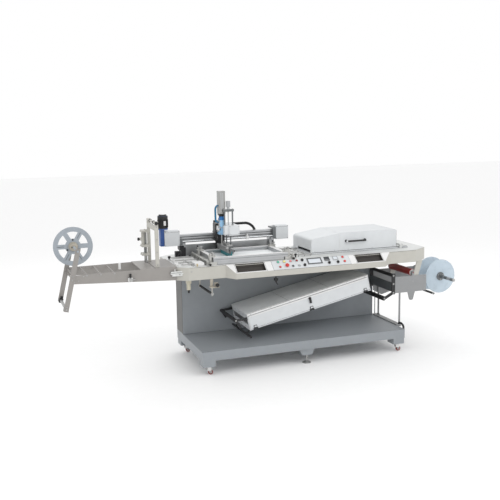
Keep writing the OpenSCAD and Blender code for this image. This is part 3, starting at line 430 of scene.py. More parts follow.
fascia("left_fascia", -734.5, -347, 76, 0, -718.5)
fascia("right_fascia", 494, 878.5, 0, -100, 566.5)
high, low = 97.0, 34.0
bezels = Piece("button_bezels", "zinc_steel", at=SLOPE)
for x, s in ((-145, high), (-78, high), (-272, low), (-136, low), (-70, low), (-198, 43)):
    bezels.lathe(on(x, s, 5.9), UP, [(0, 14.6), (0.9, 14.4), (1.6, 13.4), (1.7, 12.2), (0.2, 11.9)], 36)
for x, s in ((-20, high), (-11, low), (257, low + 4), (353, low + 4)):
    bezels.lathe(on(x, s, 3.2), UP, [(0, 16.4), (1.1, 16.2), (1.9, 15.2), (1.9, 14.2), (0.4, 14.0)], 36)
bezels.done()
for name, x, s, shade, body in (("stop_lens", -145, high, "lens_pink", "stop_button"),
                                ("reset_lens", -78, high, "lens_dark_red", "reset_button"),
                                ("vacuum_lens", -272, low, "lens_red", "vacuum_button"),
                                ("jog_left_lens", -136, low, "grey_plastic", "jog_button_left"),
                                ("jog_right_lens", -70, low, "light_grey_plastic", "jog_button_right")):
    Piece(name, shade, body, SLOPE, slot="red_plastic" if "lens_" in shade else "grey_plastic").lathe(
        on(x, s, 10.8), UP, [(0, 10.8), (0.9, 10.6), (1.6, 9.6), (2.0, 6.5), (2.2, 2.0)], 32).done()
for name, x, s, shade in (("green_lens", -278, high, "lens_green"),
    ("yellow_lens", -212, high, "lens_yellow"),
                          ("upper_red_lens", 424, high, "lens_red"),
                          ("lower_red_lens", 430, 42, "lens_red")):
    Piece(name, shade, at=SLOPE, slot="lamp_plastic").lathe(
        on(x, s, 5.9), UP, [(0, 12.4), (5.2, 12.4), (7.0, 11.4), (8.2, 8.0), (8.6, 3.0)], 32).done()
    Piece(name + "_ring", "zinc_steel", at=SLOPE).lathe(
        on(x, s, 3.2), UP, [(0, 15.4), (2.4, 15.2), (3.2, 14.0), (3.2, 12.8), (1.0, 12.6)], 36).done()
Piece("emergency_stop_cap", "red_plastic", "emergency_stop", SLOPE).lathe(
    on(-198, 43, 12.2), UP, [(0, 17.5), (0.8, 19.2), (8.0, 19.5), (11.5, 18.4), (14.2, 14.5), (15.4, 8.0),
                                    (15.7, 2.0)], 40).done()
for name, x, s in (("upper_selector", -20, high), ("lower_selector", -11, low),
    ("left_heat_knob", 257, low + 4),
                   ("right_heat_knob", 353, low + 4)):
    Piece(name + "_mark", "fascia", name, SLOPE, bevel=0.2).box(
        (x - 0.7, s + 3, 22.4), (x + 0.7, s + 12.6, 22.9)).done()
    Piece(name + "_grip", "black_plastic", name, SLOPE, bevel=0.8).box(
        (x - 3.8, s - 13, 11.5), (x + 3.8, s + 13, 22.5)).lathe(
        on(x, s, 5.8), UP, [(0, 13.5), (9.5, 13.3), (11.8, 11.6)], 32).done()


def screen_bezel(name, x0, x1, s0, s1, n, rim, shade, glass):
    outer = [on(x0, s0, n), on(x1, s0, n), on(x1, s1, n), on(x0, s1, n)]
    inner = [on(x0 + rim, s0 + rim, n), on(x1 - rim, s0 + rim, n), on(x1 - rim, s1 - rim, n),
        on(x0 + rim, s1 - rim, n)]
    Piece(name + "_rim", shade, at=SLOPE, bevel=0.5, slot="black_plastic").frame_sheet(
        outer, inner, (0, 0, 2.2)).done()
    Piece(name + "_glass", glass, at=SLOPE, bevel=0.4, slot="grey_plastic").box(
        (x0 + rim - 0.5, s0 + rim - 0.5, n - 0.6), (x1 - rim + 0.5, s1 - rim + 0.5, n + 0.5)).done()


screen_bezel("touch_screen", 29, 187, 37, 115, 6.9, 13, "grey_plastic", "display")
screen_bezel("left_controller", 216.6, 273.4, 65.6, 114.4, 7.9, 5, "black_plastic", "dark_display")
screen_bezel("right_controller", 311.6, 368.4, 67.6, 116.4, 7.9, 8, "light_grey_plastic", "display")
panel_seams = Piece("panel_seams", "gasket", at=SLOPE, bevel=0.2)
for x in (-346, 493):
    panel_seams.box((x - 1.0, 3, 0.2), (x + 1.0, slope_len - 3, 2.2))
panel_seams.box((-345, 2.0, 0.2), (492, 3.2, 1.8)).done()
keys = Piece("controller_keys", "light_grey_plastic", at=SLOPE, bevel=0.4)
for k in range(4):
    keys.box((222 + 12.5 * k, 72, 8.3), (231 + 12.5 * k, 78, 9.4))
keys.done()

# ---------- table ----------

lines = Piece("table_seams", "gasket", bevel=0.2)
lines.box((-1170, -295.5, 1041.6), (-742, -294.6, 1043.4)).box((886, -295.5, 1041.6),
    (1290, -294.6, 1043.4))
lines.done()
left = Piece("left_table_plates", "fascia", bevel=1.2)
left.box((-1262, -150, 1050), (-1138, -30, 1058)).box((-1250, -215, 1050), (-1120, -165, 1056))
left.box((-1105, -262, 1050), (-1012, -150, 1078)).box((-1240, 10, 1050), (-1010, 70, 1058))
left.box((-1240, 110, 1050), (-1010, 190, 1062)).box((-1090, -120, 1050), (-1000, -60, 1066)).done()
rails = Piece("left_table_rails", "zinc_steel", bevel=0.8)
for x in (-1128, -996, -972):
    rails.box((x, -270, 1050), (x + 9, 250, 1061))
for y in (-205, -90, 40, 150, 222):
    rails.rod((-1225, y, 1064), (-985, y, 1064), 5)
for x, y in ((-1206, -188), (-1145, -188), (-1206, -120), (-1160, -60), (-1206, 40), (-1060, 40),
    (-1206, 150),
             (-1060, 150), (-1040, -240), (-1080, -180), (-1030, -90)):
    rails.bolt((x, y, 1062), UP, 5.5, 8.0)
rails.done()
Piece("left_table_knobs", "black_plastic").lathe((-1238, 214, 1050), UP, [
    (0, 8), (14, 8), (15, 14), (30, 15), (33, 12)]).lathe((-1120, 262, 1050), UP, [
        (0, 8), (20, 8), (21, 13), (36, 14), (39, 11)]).lathe((-1018, 232, 1050), UP, [
            (0, 8), (12, 8), (13, 12), (26, 13), (28, 10)]).done()
Piece("air_fitting", "brass").lathe((-1088, -278, 1050), UP, [
    (0, 7), (4, 7), (5, 4.5), (16, 4.5), (17, 6), (24, 6), (25, 3)], 12).done()
guide = Piece("web_guide_rails", "zinc_steel", bevel=0.8)
for y0, x in ((-178, -74), (200, -74)):
    guide.box((x, y0, 1063), (x + 225, y0 + 9, 1076))
    for k in range(4):
        guide.rod((x + 12 + 66 * k, y0 + 4, 1050), (x + 12 + 66 * k, y0 + 4, 1064), 5)
        guide.bolt((x + 12 + 66 * k, y0 + 4, 1076), UP, 3.6, 4.0)
guide.box((-66, -176, 1072), (-58, 206, 1080)).box((62, -176, 1072), (70, 206, 1080))
for y in (-120, -20, 80, 170):
    guide.rod((-66, y, 1084), (70, y, 1084), 4)
guide.done()
SMALL_KNOB = [(0, 7), (20, 7), (21, 12), (34, 13), (37, 10)]
Piece("web_guide_knobs", "black_plastic").lathe((-40, -200, 1050), UP, SMALL_KNOB).lathe(
    (50, 226, 1050), UP, SMALL_KNOB).done()
bed = Piece("vacuum_bed", "dark_steel", slot="steel_plate")
for i in range(9):
    for j in range(5):
        bed.lathe((-800 + 62 * i, -150 + 75 * j, 1057.6), UP,
            [(0, 3.4), (0.7, 3.2), (0.7, 1.8), (0.1, 1.6)], 10)
bed.done()
bolts = Piece("frame_bolts", "zinc_steel")
for x, z in ((-1150, 1005), (-1265, 990), (-2196, 992), (-2150, 1030), (-1340, 1010)):
    bolts.bolt((x, -230.2 if x < -1290 else -296, z), FRONT, 4.5, 4.0)
for x in (-2119, -1992, -1865):
    bolts.bolt((x, -230.2, 1036), FRONT, 5.5, 4.5)
for z in (1030, 982):
    bolts.bolt((-2237, -230.2, z), FRONT, 5.5, 4.5)
for x, z in ((1118, 738), (1170, 742), (1300, 700), (1118, 610), (1443, 738), (1443, 610), (1282, 520)):
    bolts.bolt((x, -238.2, z), FRONT, 3.2, 3.0)
bolts.done()
# under the table
hang = Piece("hanger_caps", "zinc_steel")
for y, out in ((-258.6, -1), (172.6, 1)):
    hang.lathe((-938, y, 764), (0, out, 0), [(0, 15), (3, 15), (4, 9), (8, 8)], 24)
    hang.lathe((-938, y + (6 if out < 0 else -6), 908), UP, [(0, 11), (11.8, 11)], 6)
hang.done()
valve = Piece("table_valve", "hub_beige", bevel=1.0)
valve.box((-975, -330, 838), (-885, -285, 850)).box((-968, -300, 848),
    (-940, -288, 919)).box((-930, -322, 850), (-896, -296, 886))
valve.lathe((-912, -322, 866), FRONT, [(0, 9), (8, 9), (9, 6), (12, 6)], 20).done()
Piece("table_valve_knob", "black_plastic").lathe((-912, -334, 866), FRONT, [
    (0, 9), (3, 18), (16, 19), (20, 15)], 28).done()
Piece("table_hook", "black_plastic", bevel=1.2).box((-316, -330, 856), (-282, -300, 878)).box(
    (-306, -322, 836), (-288, -308, 860)).tube([(-296, -315, 840), (-290, -317, 824), (-280, -317, 814)],
    5).rod(
        (-299, -315, 876), (-299, -315, 919), 5).done()
filt = Piece("filter_bowl_ribs", "beige_plastic")
for z in (818, 830, 842, 854, 866):
    filt.lathe((-1154, -190, z), UP, [(0, 19.4), (1.5, 21), (4.5, 21), (6, 19.4)], 28)
filt.done()
Piece("filter_drain", "black_plastic").lathe((-1154, -190, 778), UP, [
    (0, 5), (2, 9), (12, 10.6), (22, 10.6), (30, 14), (34, 19.6)], 24).done()

# ---------- infeed, reel, guide stand ----------

for side, y0 in (("front", -238.4), ("back", 238.4)):
    out = -1 if side == "front" else 1
    caps = Piece("upright_bolts_" + side, "zinc_steel", at=UPRIGHT)
    for z in (0, -236, -268, -520):
        caps.bolt((0, y0, z), (0, out, 0), 6.5 if z == 0 else 5.0, 5.5)
    caps.done()
clamps = Piece("upright_clamps", "black_plastic", at=UPRIGHT, bevel=1.5)
for y in (-205, 175):
    clamps.box((-19, y, -568), (19, y + 30, -525)).box((-13, y + 4, -525), (13, y + 26, -505))
clamps.done()
ends = Piece("upright_roller_ends", "zinc_steel", "upright_roller", UPRIGHT)
ends.lathe((0, -241, -545), FRONT, [(0, 9), (3, 9), (4, 6), (6, 5.5)], 24)
for y in (-60, 0, 60, 110):
    ends.lathe((0, y, -545), REAR, [(0, 13.0), (1, 14.6), (7, 14.6), (8, 13.0)], 28)
ends.done()
hub = Piece("reel_hub", "hub_beige", "unwind_reel", slot="pale_blue_plastic")
hub.lathe((-2192, 40, 1265), REAR, [(0, 26), (2, 34), (22, 38), (24, 42.6), (50, 42.6), (51, 38)], 48)
hub.lathe((-2192, -222, 1265), REAR, [(0, 16), (1.5, 18), (12, 18), (13.5, 16)], 32).done()
marks = Piece("reel_screws", "black_plastic", "unwind_reel")
for k, r in ((90, 62), (210, 62), (330, 62)):
    c, w = cos(radians(k)), sin(radians(k))
    marks.bolt((-2192 + r * c, 89.8, 1265 + r * w), FRONT, 5.5, 5.0)
marks.lathe((-2210, 39.5, 1265), FRONT, [(0, 6), (3, 6), (4, 4)], 6).done()
rim = Piece("reel_slots", "dark_steel", "unwind_reel", bevel=0.4)
for k in (60, 180, 240, 300):
    c, w = cos(radians(k)), sin(radians(k))
    p, q = Vector((-2192 + 84 * c, 88.6, 1265 + 84 * w)), Vector((-2192 + 148 * c, 88.6, 1265 + 148 * w))
    n = Vector((-w, 0, c)) * 2.2
    rim.prism([p - n, q - n, q + n, p + n], (0, 1.6, 0))
rim.done()
reg = Piece("regulator", "fascia", bevel=1.0)
reg.box((-1746, -244, 950), (-1702, -230, 985)).box((-1738, -262, 956), (-1712, -244, 980))
reg.box((-1760, 150, 1000), (-1738, 170, 1062)).done()
Piece("regulator_gauge", "zinc_steel").lathe((-1720, -262, 966), FRONT, [
    (0, 15), (5, 16), (8, 16), (10, 14), (9, 12.5)], 32).lathe((-1700, -238, 966), RIGHT, [
        (0, 5), (10, 5), (11, 7), (20, 7), (22, 4)], 16).done()
Piece("regulator_knob", "black_plastic").lathe((-1725, -252, 985), UP, [
    (0, 6), (6, 6), (7, 10), (16, 11), (18, 8), (19, 8), (26, 10), (38, 10), (40, 7)], 24).done()
clampx = Piece("infeed_clamp", "table_plate", bevel=1.2)
clampx.box((-1343, -262, 985), (-1217, -232, 997)).box((-1330, -266, 968), (-1230, -240, 985))
clampx.rod((-1340, -250, 1006), (-1220, -250, 1006), 7).rod((-1300, -250, 997), (-1300, -250, 1034),
    5).done()
stand_x = -1452.0
grid = Piece("stand_grid", "dark_steel", bevel=0.5, slot="black_paint")
for z0, z1 in ((1148, 1215), (1236, 1356)):
    grid.box((stand_x - 40, 96, z0), (stand_x - 36, 176, z1))
    for k in range(9):
        grid.box((stand_x - 47, 98 + 9 * k, z0 + 2), (stand_x - 40, 101 + 9 * k, z1 - 2))
grid.done()
Piece("stand_knobs", "black_plastic").lathe((stand_x - 2, -214, 1474), REAR, [
    (0, 12), (3, 17), (10, 17), (13, 13), (32, 13)], 28).lathe((stand_x - 100, 128, 1288), LEFT, [
        (0, 13), (3, 16), (14, 16), (17, 12)], 28).lathe((stand_x - 2, -110, 1474), REAR, [
            (0, 13), (2, 17), (16, 17), (18, 13)], 28).lathe((stand_x - 2, 40, 1474), REAR, [
                (0, 13), (2, 17), (14, 17), (16, 13)], 28).done()
arch = Piece("stand_plates", "beige_paint", bevel=1.5)
outline = []
for k in range(13):
    t = pi * k / 12
    outline.append((stand_x - 13, -6 - 176 * cos(t), 1428 + 26 * sin(t)))
arch.prism(outline + [(stand_x - 13, 170, 1400), (stand_x - 13, -182, 1400)], (8, 0, 0))
arch.box((stand_x - 84, 80, 1356), (stand_x - 6, 190, 1362)).box((stand_x - 84, 80, 1212),
    (stand_x - 6, 190, 1218))
arch.box((stand_x - 84, 80, 1128), (stand_x - 6, 190, 1134)).done()
screws = Piece("stand_screws", "zinc_steel")
for z in (1080, 1200, 1320, 1440):
    screws.bolt((stand_x, -200.2, z), FRONT, 4.5, 4.0)
    screws.bolt((stand_x + 7, 188.2, z), REAR, 4.5, 4.0)
for y in (92, 178):
    for z in (1366, 1224, 1140):
        screws.bolt((stand_x - 70, y, z - 4), UP, 4, 5)
screws.rod((stand_x - 40, 104, 1056), (stand_x - 40, 104, 1128), 9).rod((stand_x - 40, 160, 1056),
    (stand_x - 40, 160, 1128), 9)
screws.done()

# ---------- drive ----------

mx = -1265.0
motor = Piece("motor_shell", "black_plastic", bevel=0.4)
motor.lathe((mx, 330, 1350.5), UP, [(0, 47), (2, 51), (10, 51), (12, 50.4), (92, 50.4), (94, 52.5),
                                           (122, 52.5), (127, 50)], 40)
for c, w in circle(28):
    p = Vector((mx + 50 * c, 330 + 50 * w, 1363))
    n = Vector((-w, c, 0)) * 1.2
    o = Vector((c, w, 0)) * 4.5
    motor.prism([p - n, p + n, p + n + o, p - n + o], (0, 0, 78))
motor.done()
Piece("motor_fan_cap", "black_plastic").lathe((mx, 330, 1477), UP, [
    (0, 50), (3, 48), (4, 41), (9, 40.5), (14, 39), (16, 33)], 40).done()
Piece("motor_cap_disc", "chrome").lathe((mx, 330, 1492), UP, [
    (0, 24), (1.8, 23.5), (2.6, 20), (1.6, 18), (1.4, 9), (3.0, 7)], 36).done()
Piece("motor_plate", "fascia", bevel=0.6).box((mx - 4, 275.5, 1384), (mx + 20, 281, 1430)).done()
gear = Piece("gearbox_edges", "blue_paint", bevel=2.5)
gear.box((mx - 36, 289, 1172), (mx + 4, 371, 1184)).box((mx - 36, 289, 1336), (mx + 4, 371, 1350))
for z in (1202, 1222, 1242, 1262, 1282, 1302, 1322):
    gear.box((mx - 36, 290, z), (mx + 3, 370, z + 6))
gear.lathe((mx, 330, 1340), UP, [(0, 50), (2, 53), (9, 53), (10.5, 50)], 40).done()
edges = Piece("cover_seams", "gasket", bevel=0.2)
for x0, x1, z1 in ((-1262, -1105, 1324), (-61, 81, 1314)):
    edges.box((x0 + 2, 279.2, z1 - 14), (x1 - 2, 280, z1 - 12.6))
edges.done()
caps = Piece("cover_screws", "zinc_steel")
for x0, x1, z1 in ((-1262, -1105, 1324), (-61, 81, 1314)):
    for x in (x0 + 10, x1 - 10):
        for z in (1180, z1 - 7):
            caps.bolt((x, 280, z), FRONT, 3.0, 2.5, 12)
caps.done()
rod_end = Piece("beam_brackets", "dark_steel", bevel=1.2)
rod_end.box((-96, 270, 1180), (-62, 306, 1302)).box((-110, 272, 1288), (-62, 378, 1304))
rod_end.box((-1104, 270, 1178), (-1080, 306, 1240)).done()
clampr = Piece("rod_clamp", "fascia", bevel=1.5)
clampr.box((-392, 272, 1190), (-366, 306, 1228)).rod((-379, 288, 1226), (-379, 288, 1246), 7).done()
rodv = Piece("guide_rod_skin", "chrome")
rodv.lathe((-1093, 288, 1209), RIGHT, [(0, 11.2), (1020, 11.2)], 40).done()
belt = Piece("beam_slots", "gasket", bevel=0.2)
for z in (1226, 1250):
    belt.box((-1104, 309.3, z), (-62, 311, z + 5))
belt.done()

# ---------- carriage ----------

hx = -702.0
cx = -740.0
hose_path = [(-708, 392, 1348), (-600, 392, 1348), (-480, 392, 1348)]
hose_path += [(-370 + 120 * sin(t), 392, 1228 + 120 * cos(t)) for t in (0, 0.26, 0.52, 0.79, 1.05,
    1.31, 1.57)]
Piece("hose_ribbed", "black_rubber", "carriage").tube(
    hose_path + [(-250, 392, 1220)], 14.5, n=20, ribs=2.0, pitch=6.5).done()
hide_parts("energy_hose")
cyl = Piece("cylinder_skin", "cylinder_grey", "carriage", bevel=1.2, slot="aluminium")
notched = []
for cs, sn in ((1, 0), (0, 1), (-1, 0), (0, -1)):
    for u, v in ((33, -33), (33, -14), (30.5, -12), (30.5, -6), (33, -4), (33, 4), (30.5, 6), (30.5, 12),
        (33, 14)):
        notched.append((u * cs - v * sn, u * sn + v * cs))
cyl.faces([[(cx + x, 30 + y, z) for x, y in notched] for z in (1516, 1716)])
cyl.box((cx - 34, -4, 1716), (cx + 34, 64, 1730)).box((cx - 34, -4, 1506), (cx + 34, 64, 1520)).done()
cyl_bolts = Piece("cylinder_bolts", "dark_steel", "carriage")
for x in (-25, 25):
    for y in (-25, 25):
        cyl_bolts.bolt((cx + x, 30 + y, 1728), UP, 3.6, 2.9)
cyl_bolts.done()
Piece("cylinder_collar", "black_plastic", "carriage", bevel=1.5).box((cx - 30, -1, 1489),
    (cx + 30, 61, 1507)).lathe(
    (cx, 30, 1478), UP, [(0, 24), (2, 28), (10, 28), (12, 24)], 32).done()
Piece("blue_clamp", "clamp_blue", "carriage", bevel=1.5, slot="blue_paint").box(
    (cx - 26, 4, 1440), (cx + 26, 56, 1462)).lathe((cx, 30, 1458), UP,
    [(0, 24), (2, 26), (18, 26), (20, 24)], 32).done()
blue = Piece("blue_block", "light_blue", "carriage", bevel=2.0, slot="blue_paint")
blue.box((cx - 34, -2, 1298), (cx + 24, 62, 1366)).box((cx - 30, -1, 1370), (cx + 22, 61, 1442))
blue.box((cx - 20, -6, 1310), (cx + 14, 2, 1352)).done()
dots = Piece("blue_block_screws", "zinc_steel", "carriage")
for x in (cx - 24, cx + 14):
    for z in (1306, 1358, 1378, 1432):
        dots.bolt((x, -2.2, z), FRONT, 3.4, 3.0, 12)
dots.lathe((cx - 36, 20, 1332), LEFT, [(0, 8), (8, 8), (9, 6), (16, 6)], 6)
dots.lathe((cx - 36, 44, 1420), LEFT, [(0, 7), (8, 7), (9, 5), (14, 5)], 6).done()
hoses = Piece("blue_hoses", "petrol_hose", "carriage", slot="blue_paint")
for y in (21, 39):
    hoses.tube([(cx - 30, y, 1586), (cx - 46, y, 1582), (cx - 60, y, 1556), (cx - 61, y, 1500),
        (cx - 60, y, 1446),
                (cx - 54, y, 1426), (cx - 32, y, 1421.5)], 7.2, n=16)
hoses.done()
fan = Piece("carriage_side_box", "black_plastic", "carriage", bevel=2.0)
fan.box((hx - 92, 60, 1300), (hx - 62, 150, 1404)).box((hx - 64, 66, 1310), (hx - 20, 140, 1330))
fan.tube([(hx - 84, 70, 1310), (hx - 92, 66, 1280), (hx - 80, 80, 1240), (hx - 44, 150, 1236),
    (hx - 20, 240, 1260)], 6)
fan.done()
Piece("carriage_fitting", "fascia", "carriage", bevel=1.5).box(
    (hx - 84, 20, 1340), (hx - 70, 54, 1384)).lathe((hx - 66, 10, 1350), FRONT, [
        (0, 12), (3, 14), (10, 14), (12, 10)], 24).done()
seam = Piece("carriage_cover_seams", "gasket", "carriage", bevel=0.2)
seam.box((hx + 12, -70.7, 1300), (hx + 116, -70, 1301.4)).box((hx - 33, -60.7, 1306),
    (hx + 8, -60, 1307.4)).done()
caps = Piece("carriage_cover_screws", "zinc_steel", "carriage")
for x, z in ((hx + 18, 1382), (hx + 110, 1382), (hx + 18, 1308), (hx + 110, 1308)):
    caps.bolt((x, -70.2, z), FRONT, 2.8, 2.4, 12)
for x in (hx - 20, hx + 62):
    caps.lathe((x, -20, 1389), UP, [(0, 12), (8, 12), (9, 8)], 6)
    caps.bolt((x, -20, 1550), UP, 5.5, 6)
caps.done()
bridge = Piece("bridge_skin", "dark_steel", "carriage", bevel=1.5)
bridge.box((hx - 35, -33, 1527), (hx + 75, -7, 1551))
for x in (hx - 20, hx + 62):
    bridge.rod((x, -20, 1390), (x, -20, 1528), 7.6)
bridge.done()
plate = Piece("carriage_plate_parts", "black_paint", "carriage", bevel=1.5)
plate.box((hx - 30, 246, 1110), (hx + 62, 254, 1180)).box((hx - 26, 240, 1130), (hx - 8, 247, 1300))
plate.box((hx + 42, 240, 1130), (hx + 58, 247, 1300)).box((hx - 30, 250, 1328), (hx + 62, 272, 1336)).done()
caps = Piece("carriage_plate_screws", "zinc_steel", "carriage")
for x in (hx - 22, hx + 54):
    for z in (1120, 1168):
        caps.bolt((x, 246, z), FRONT, 4.5, 3.0)
caps.done()
nuts = Piece("guide_pin_nuts", "zinc_steel", "squeegee")
for y in (-20, 110):
    nuts.lathe((hx + 39, y, 1344), UP, [(0, 9), (3, 9), (4, 6.5), (8, 6)], 24)
nuts.done()
knob = Piece("pressure_knob_grip", "light_grey_plastic", "pressure_knob", slot="black_plastic")
kx = hx + 18
for z0, z1 in ((1576, 1600), (1604, 1630)):
    knob.faces([[(kx + x, -20 + y, z) for x, y in knurled(48, 21.9, 22.8)] for z in (z0, z1)])
knob.lathe((kx, -20, 1630), UP, [(0, 22), (3, 21), (4, 10), (3.4, 9)], 36).done()
hold = Piece("holder_parts", "zinc_steel", "squeegee", bevel=1.0)
hold.box((hx - 22, -150, 1130), (hx - 18, 158, 1160)).box((hx + 18, -150, 1130), (hx + 22, 158, 1160))
hold.box((hx - 14, -40, 1180), (hx + 50, -10, 1196)).box((hx - 14, 90, 1180), (hx + 50, 125, 1196))
for y in (-140, -70, 0, 70, 140):
    hold.bolt((hx + 22, y, 1146), RIGHT, 5.5, 7.0)
for y in (-25, 108):
    hold.lathe((hx + 12, y, 1196), UP, [(0, 9), (10, 9), (11, 13), (18, 13), (20, 10)], 20)
hold.done()
DISC_KNOB = [(0, 6), (8, 6), (9, 12), (20, 12), (22, 9)]
Piece("holder_knobs", "black_plastic", "squeegee").lathe((hx + 29, -100, 1140), RIGHT, DISC_KNOB, 20).lathe(
    (hx + 29, 100, 1140), RIGHT, DISC_KNOB, 20).done()
Piece("blade_edge", "blade_rubber", "squeegee", bevel=1.0).box((hx - 6, -163, 1086),
    (hx + 6, 171, 1124)).box(
    (hx - 2.5, -163, 1079), (hx + 2.5, 171, 1088)).done()
flood = Piece("flood_bar_parts", "zinc_steel", "flood_bar", bevel=0.8)
for y in (-130, -60, 60, 130):
    flood.bolt((cx - 12, y, 1183), LEFT, 4.0, 4.0)
flood.box((cx - 9, 18, 1192), (cx + 9, 42, 1206)).done()

# ---------- printing screen and its clamps ----------

sx0, sx1, sy0, sy1 = -925.0, -152.0, -275.0, 220.0
Piece("screen_mesh", "mesh_white", bevel=0.3, slot="aluminium").box(
    (sx0 + 40, sy0 + 40, 1083.1), (sx1 - 40, sy1 - 40, 1083.7)).done()
# light strips on the tops of the aluminium screen bars paint their highlights
bar_highlights = Piece("screen_bar_painted_highlights", "fascia", bevel=1.6, slot="aluminium")
for y0, y1 in ((sy0 - 1, sy0 + 41), (sy1 - 41, sy1 + 1)):
    bar_highlights.box((sx0 - 1, y0, 1118), (sx1 + 1, y1, 1121.5))
for x0, x1 in ((sx0 - 1, sx0 + 41), (sx1 - 41, sx1 + 1)):
    bar_highlights.box((x0, sy0 + 42, 1118), (x1, sy1 - 42, 1121.5))
bar_highlights.done()
groove = Piece("screen_grooves", "dark_steel", bevel=0.2)
groove.box((sx0 + 2, sy0 - 0.8, 1098), (sx1 - 2, sy0 - 0.1, 1102)).box((sx0 + 40, sy1 - 40.8, 1098),
    (sx1 - 40, sy1 - 40.1, 1102))
groove.box((sx0 + 42, sy0 + 60, 1083.6), (sx0 + 44, sy1 - 60, 1084)).done()
for name, x, k in (("left", sx0, 1), ("right", sx1, -1)):
    rail = Piece("clamp_parts_" + name, "steel_plate", bevel=1.0)
    rail.box((x - 46 * k, -292, 1052), (x - 34 * k, 290, 1074)).rod((x - 56 * k, -280, 1088),
        (x - 56 * k, 270, 1088), 8)
    for y in (-262, -140, -20, 100, 222, 262):
        rail.box((x - 66 * k, y - 9, 1050), (x - 46 * k, y + 9, 1098))
        rail.bolt((x - 56 * k, y, 1098), UP, 4.5, 5.0)
    for y in (-225, 170):
        rail.box((x - 40 * k, y - 26, 1132), (x + 34 * k, y + 26, 1136))
        rail.rod((x - 20 * k, y - 18, 1130), (x - 20 * k, y - 18, 1160), 5).rod((x - 20 * k, y + 18, 1130),
            (x - 20 * k, y + 18, 1156), 5)
    rail.done()
    grip = Piece("clamp_knobs_" + name, "zinc_steel")
    for y in (-225, 170):
        grip.lathe((x + 10 * k, y, 1142), UP, [(0, 15), (3, 15), (4, 13.4), (9, 13.4), (10, 15.5),
            (21, 15.5), (23, 12)], 24)
        grip.lathe((x - 20 * k, y - 18, 1156), UP, [(0, 6), (2, 9), (9, 9), (11, 7)], 16)
    grip.done()
    Piece("clamp_handles_" + name, "black_plastic").lathe((x - 44 * k, -296, 1062), FRONT, [
        (0, 7), (8, 7), (9, 12), (24, 12), (27, 9)], 20).lathe((x - 20 * k, 190, 1160), UP, [
            (0, 6), (5, 9), (14, 9), (17, 6)], 20).done()

# sheets and supports around the screen, and a dark sheet of painted shade on the cabinet's left side
Piece("screen_skirt", "aluminium", bevel=1.0).box((sx0 + 40, -271, 1052), (sx1 - 40, -265, 1079)).box(
    (sx0 + 40, -274, 1074), (sx1 - 40, -262, 1079.5)).done()
support = Piece("beam_support_left", "black_paint", bevel=1.5)
support.box((-1092, 299, 1050), (-1040, 381, 1150)).box((-1108, 292, 1120), (-1060, 372, 1166))
support.box((-1150, 300, 1050), (-1096, 340, 1110)).done()
# dark sheet over the cabinet's grey left side: painted shade
shade = Piece("cabinet_left_painted_shade", "side_grey", bevel=0.8, slot="grey_paint")
shade.box((-1101.2, 283, 244), (-1099.8, 517, 914)).box((-1101.8, 281, 243), (-1099.8, 286, 916)).done()

# ---------- hood ----------

x0, x1, z0 = 170.0, 1160.0, 1063.5
seal = Piece("hood_seals", "gasket", "hood_lid", bevel=0.2)
seal.box((x0 + 4, -120.9, z0 + 1.0), (x1 - 4, -120, z0 + 4.5)).box((x0 - 0.7, -90, z0 + 27),
    (x0, 222, z0 + 29))
seal.box((x1, -114, z0 + 8), (x1 + 0.8, 344, z0 + 10.5)).box((x1 - 2.4, -120.9, z0 + 4),
    (x1 - 1.0, -120.1, z0 + 174))
seal.done()
kink = Piece("hood_fold", "fascia", "hood_lid", bevel=0.4)
kink.box((x0 + 318.5, -120.8, z0 + 3), (x0 + 321.5, -120, z0 + 186)).box((x0 + 318, -119, z0 + 189.6),
    (x0 + 322, 349, z0 + 191))
kink.done()
grip = Piece("hood_handle_skin", "black_plastic", "hood_lid")
hx0, hz = x1 - 487, z0 + 102
grip.tube([(hx0 - 108, -118, hz), (hx0 - 109, -140, hz), (hx0 - 104, -152, hz), (hx0 - 92, -154.5, hz),
    (hx0, -155, hz),
           (hx0 + 92, -154.5, hz), (hx0 + 104, -152, hz), (hx0 + 109, -140, hz), (hx0 + 108, -118, hz)],
           9.6, n=20)
for k in (-1, 1):
    grip.lathe((hx0 + 108 * k, -120, hz), FRONT, [(0, 14), (3, 14), (5, 10.5)], 24)
grip.done()
top_bolts = Piece("hood_screws", "zinc_steel", "hood_lid")
for x in (x0 + 40, x0 + 260, x0 + 420, x0 + 700, x1 - 40):
    top_bolts.bolt((x, -120.2, z0 + 14), FRONT, 2.8, 2.4, 12)
top_bolts.done()
vent = Piece("hood_back_vents", "gasket", "hood_lid", bevel=0.4)
for k in range(12):
    vent.box((x0 + 420 + 34 * k, 350, z0 + 60), (x0 + 432 + 34 * k, 350.8, z0 + 130))
vent.done()
base = Piece("hood_base_seams", "gasket", bevel=0.2)
base.box((160, -130.8, 1052), (1290, -130, 1054)).box((1165, -128, 1063), (1292, 372, 1063.9)).done()
exit_plates = Piece("exit_plates", "table_plate", bevel=1.0)
exit_plates.box((1180, -110, 1064), (1286, 200, 1068)).box((1186, -150, 1050), (1210, -134, 1090))
exit_plates.rod((1230, -120, 1080), (1230, 210, 1080), 8).box((1222, -130, 1064), (1238, -120, 1092))
exit_plates.box((1222, 210, 1064), (1238, 220, 1092)).done()

# ---------- tunnel ----------

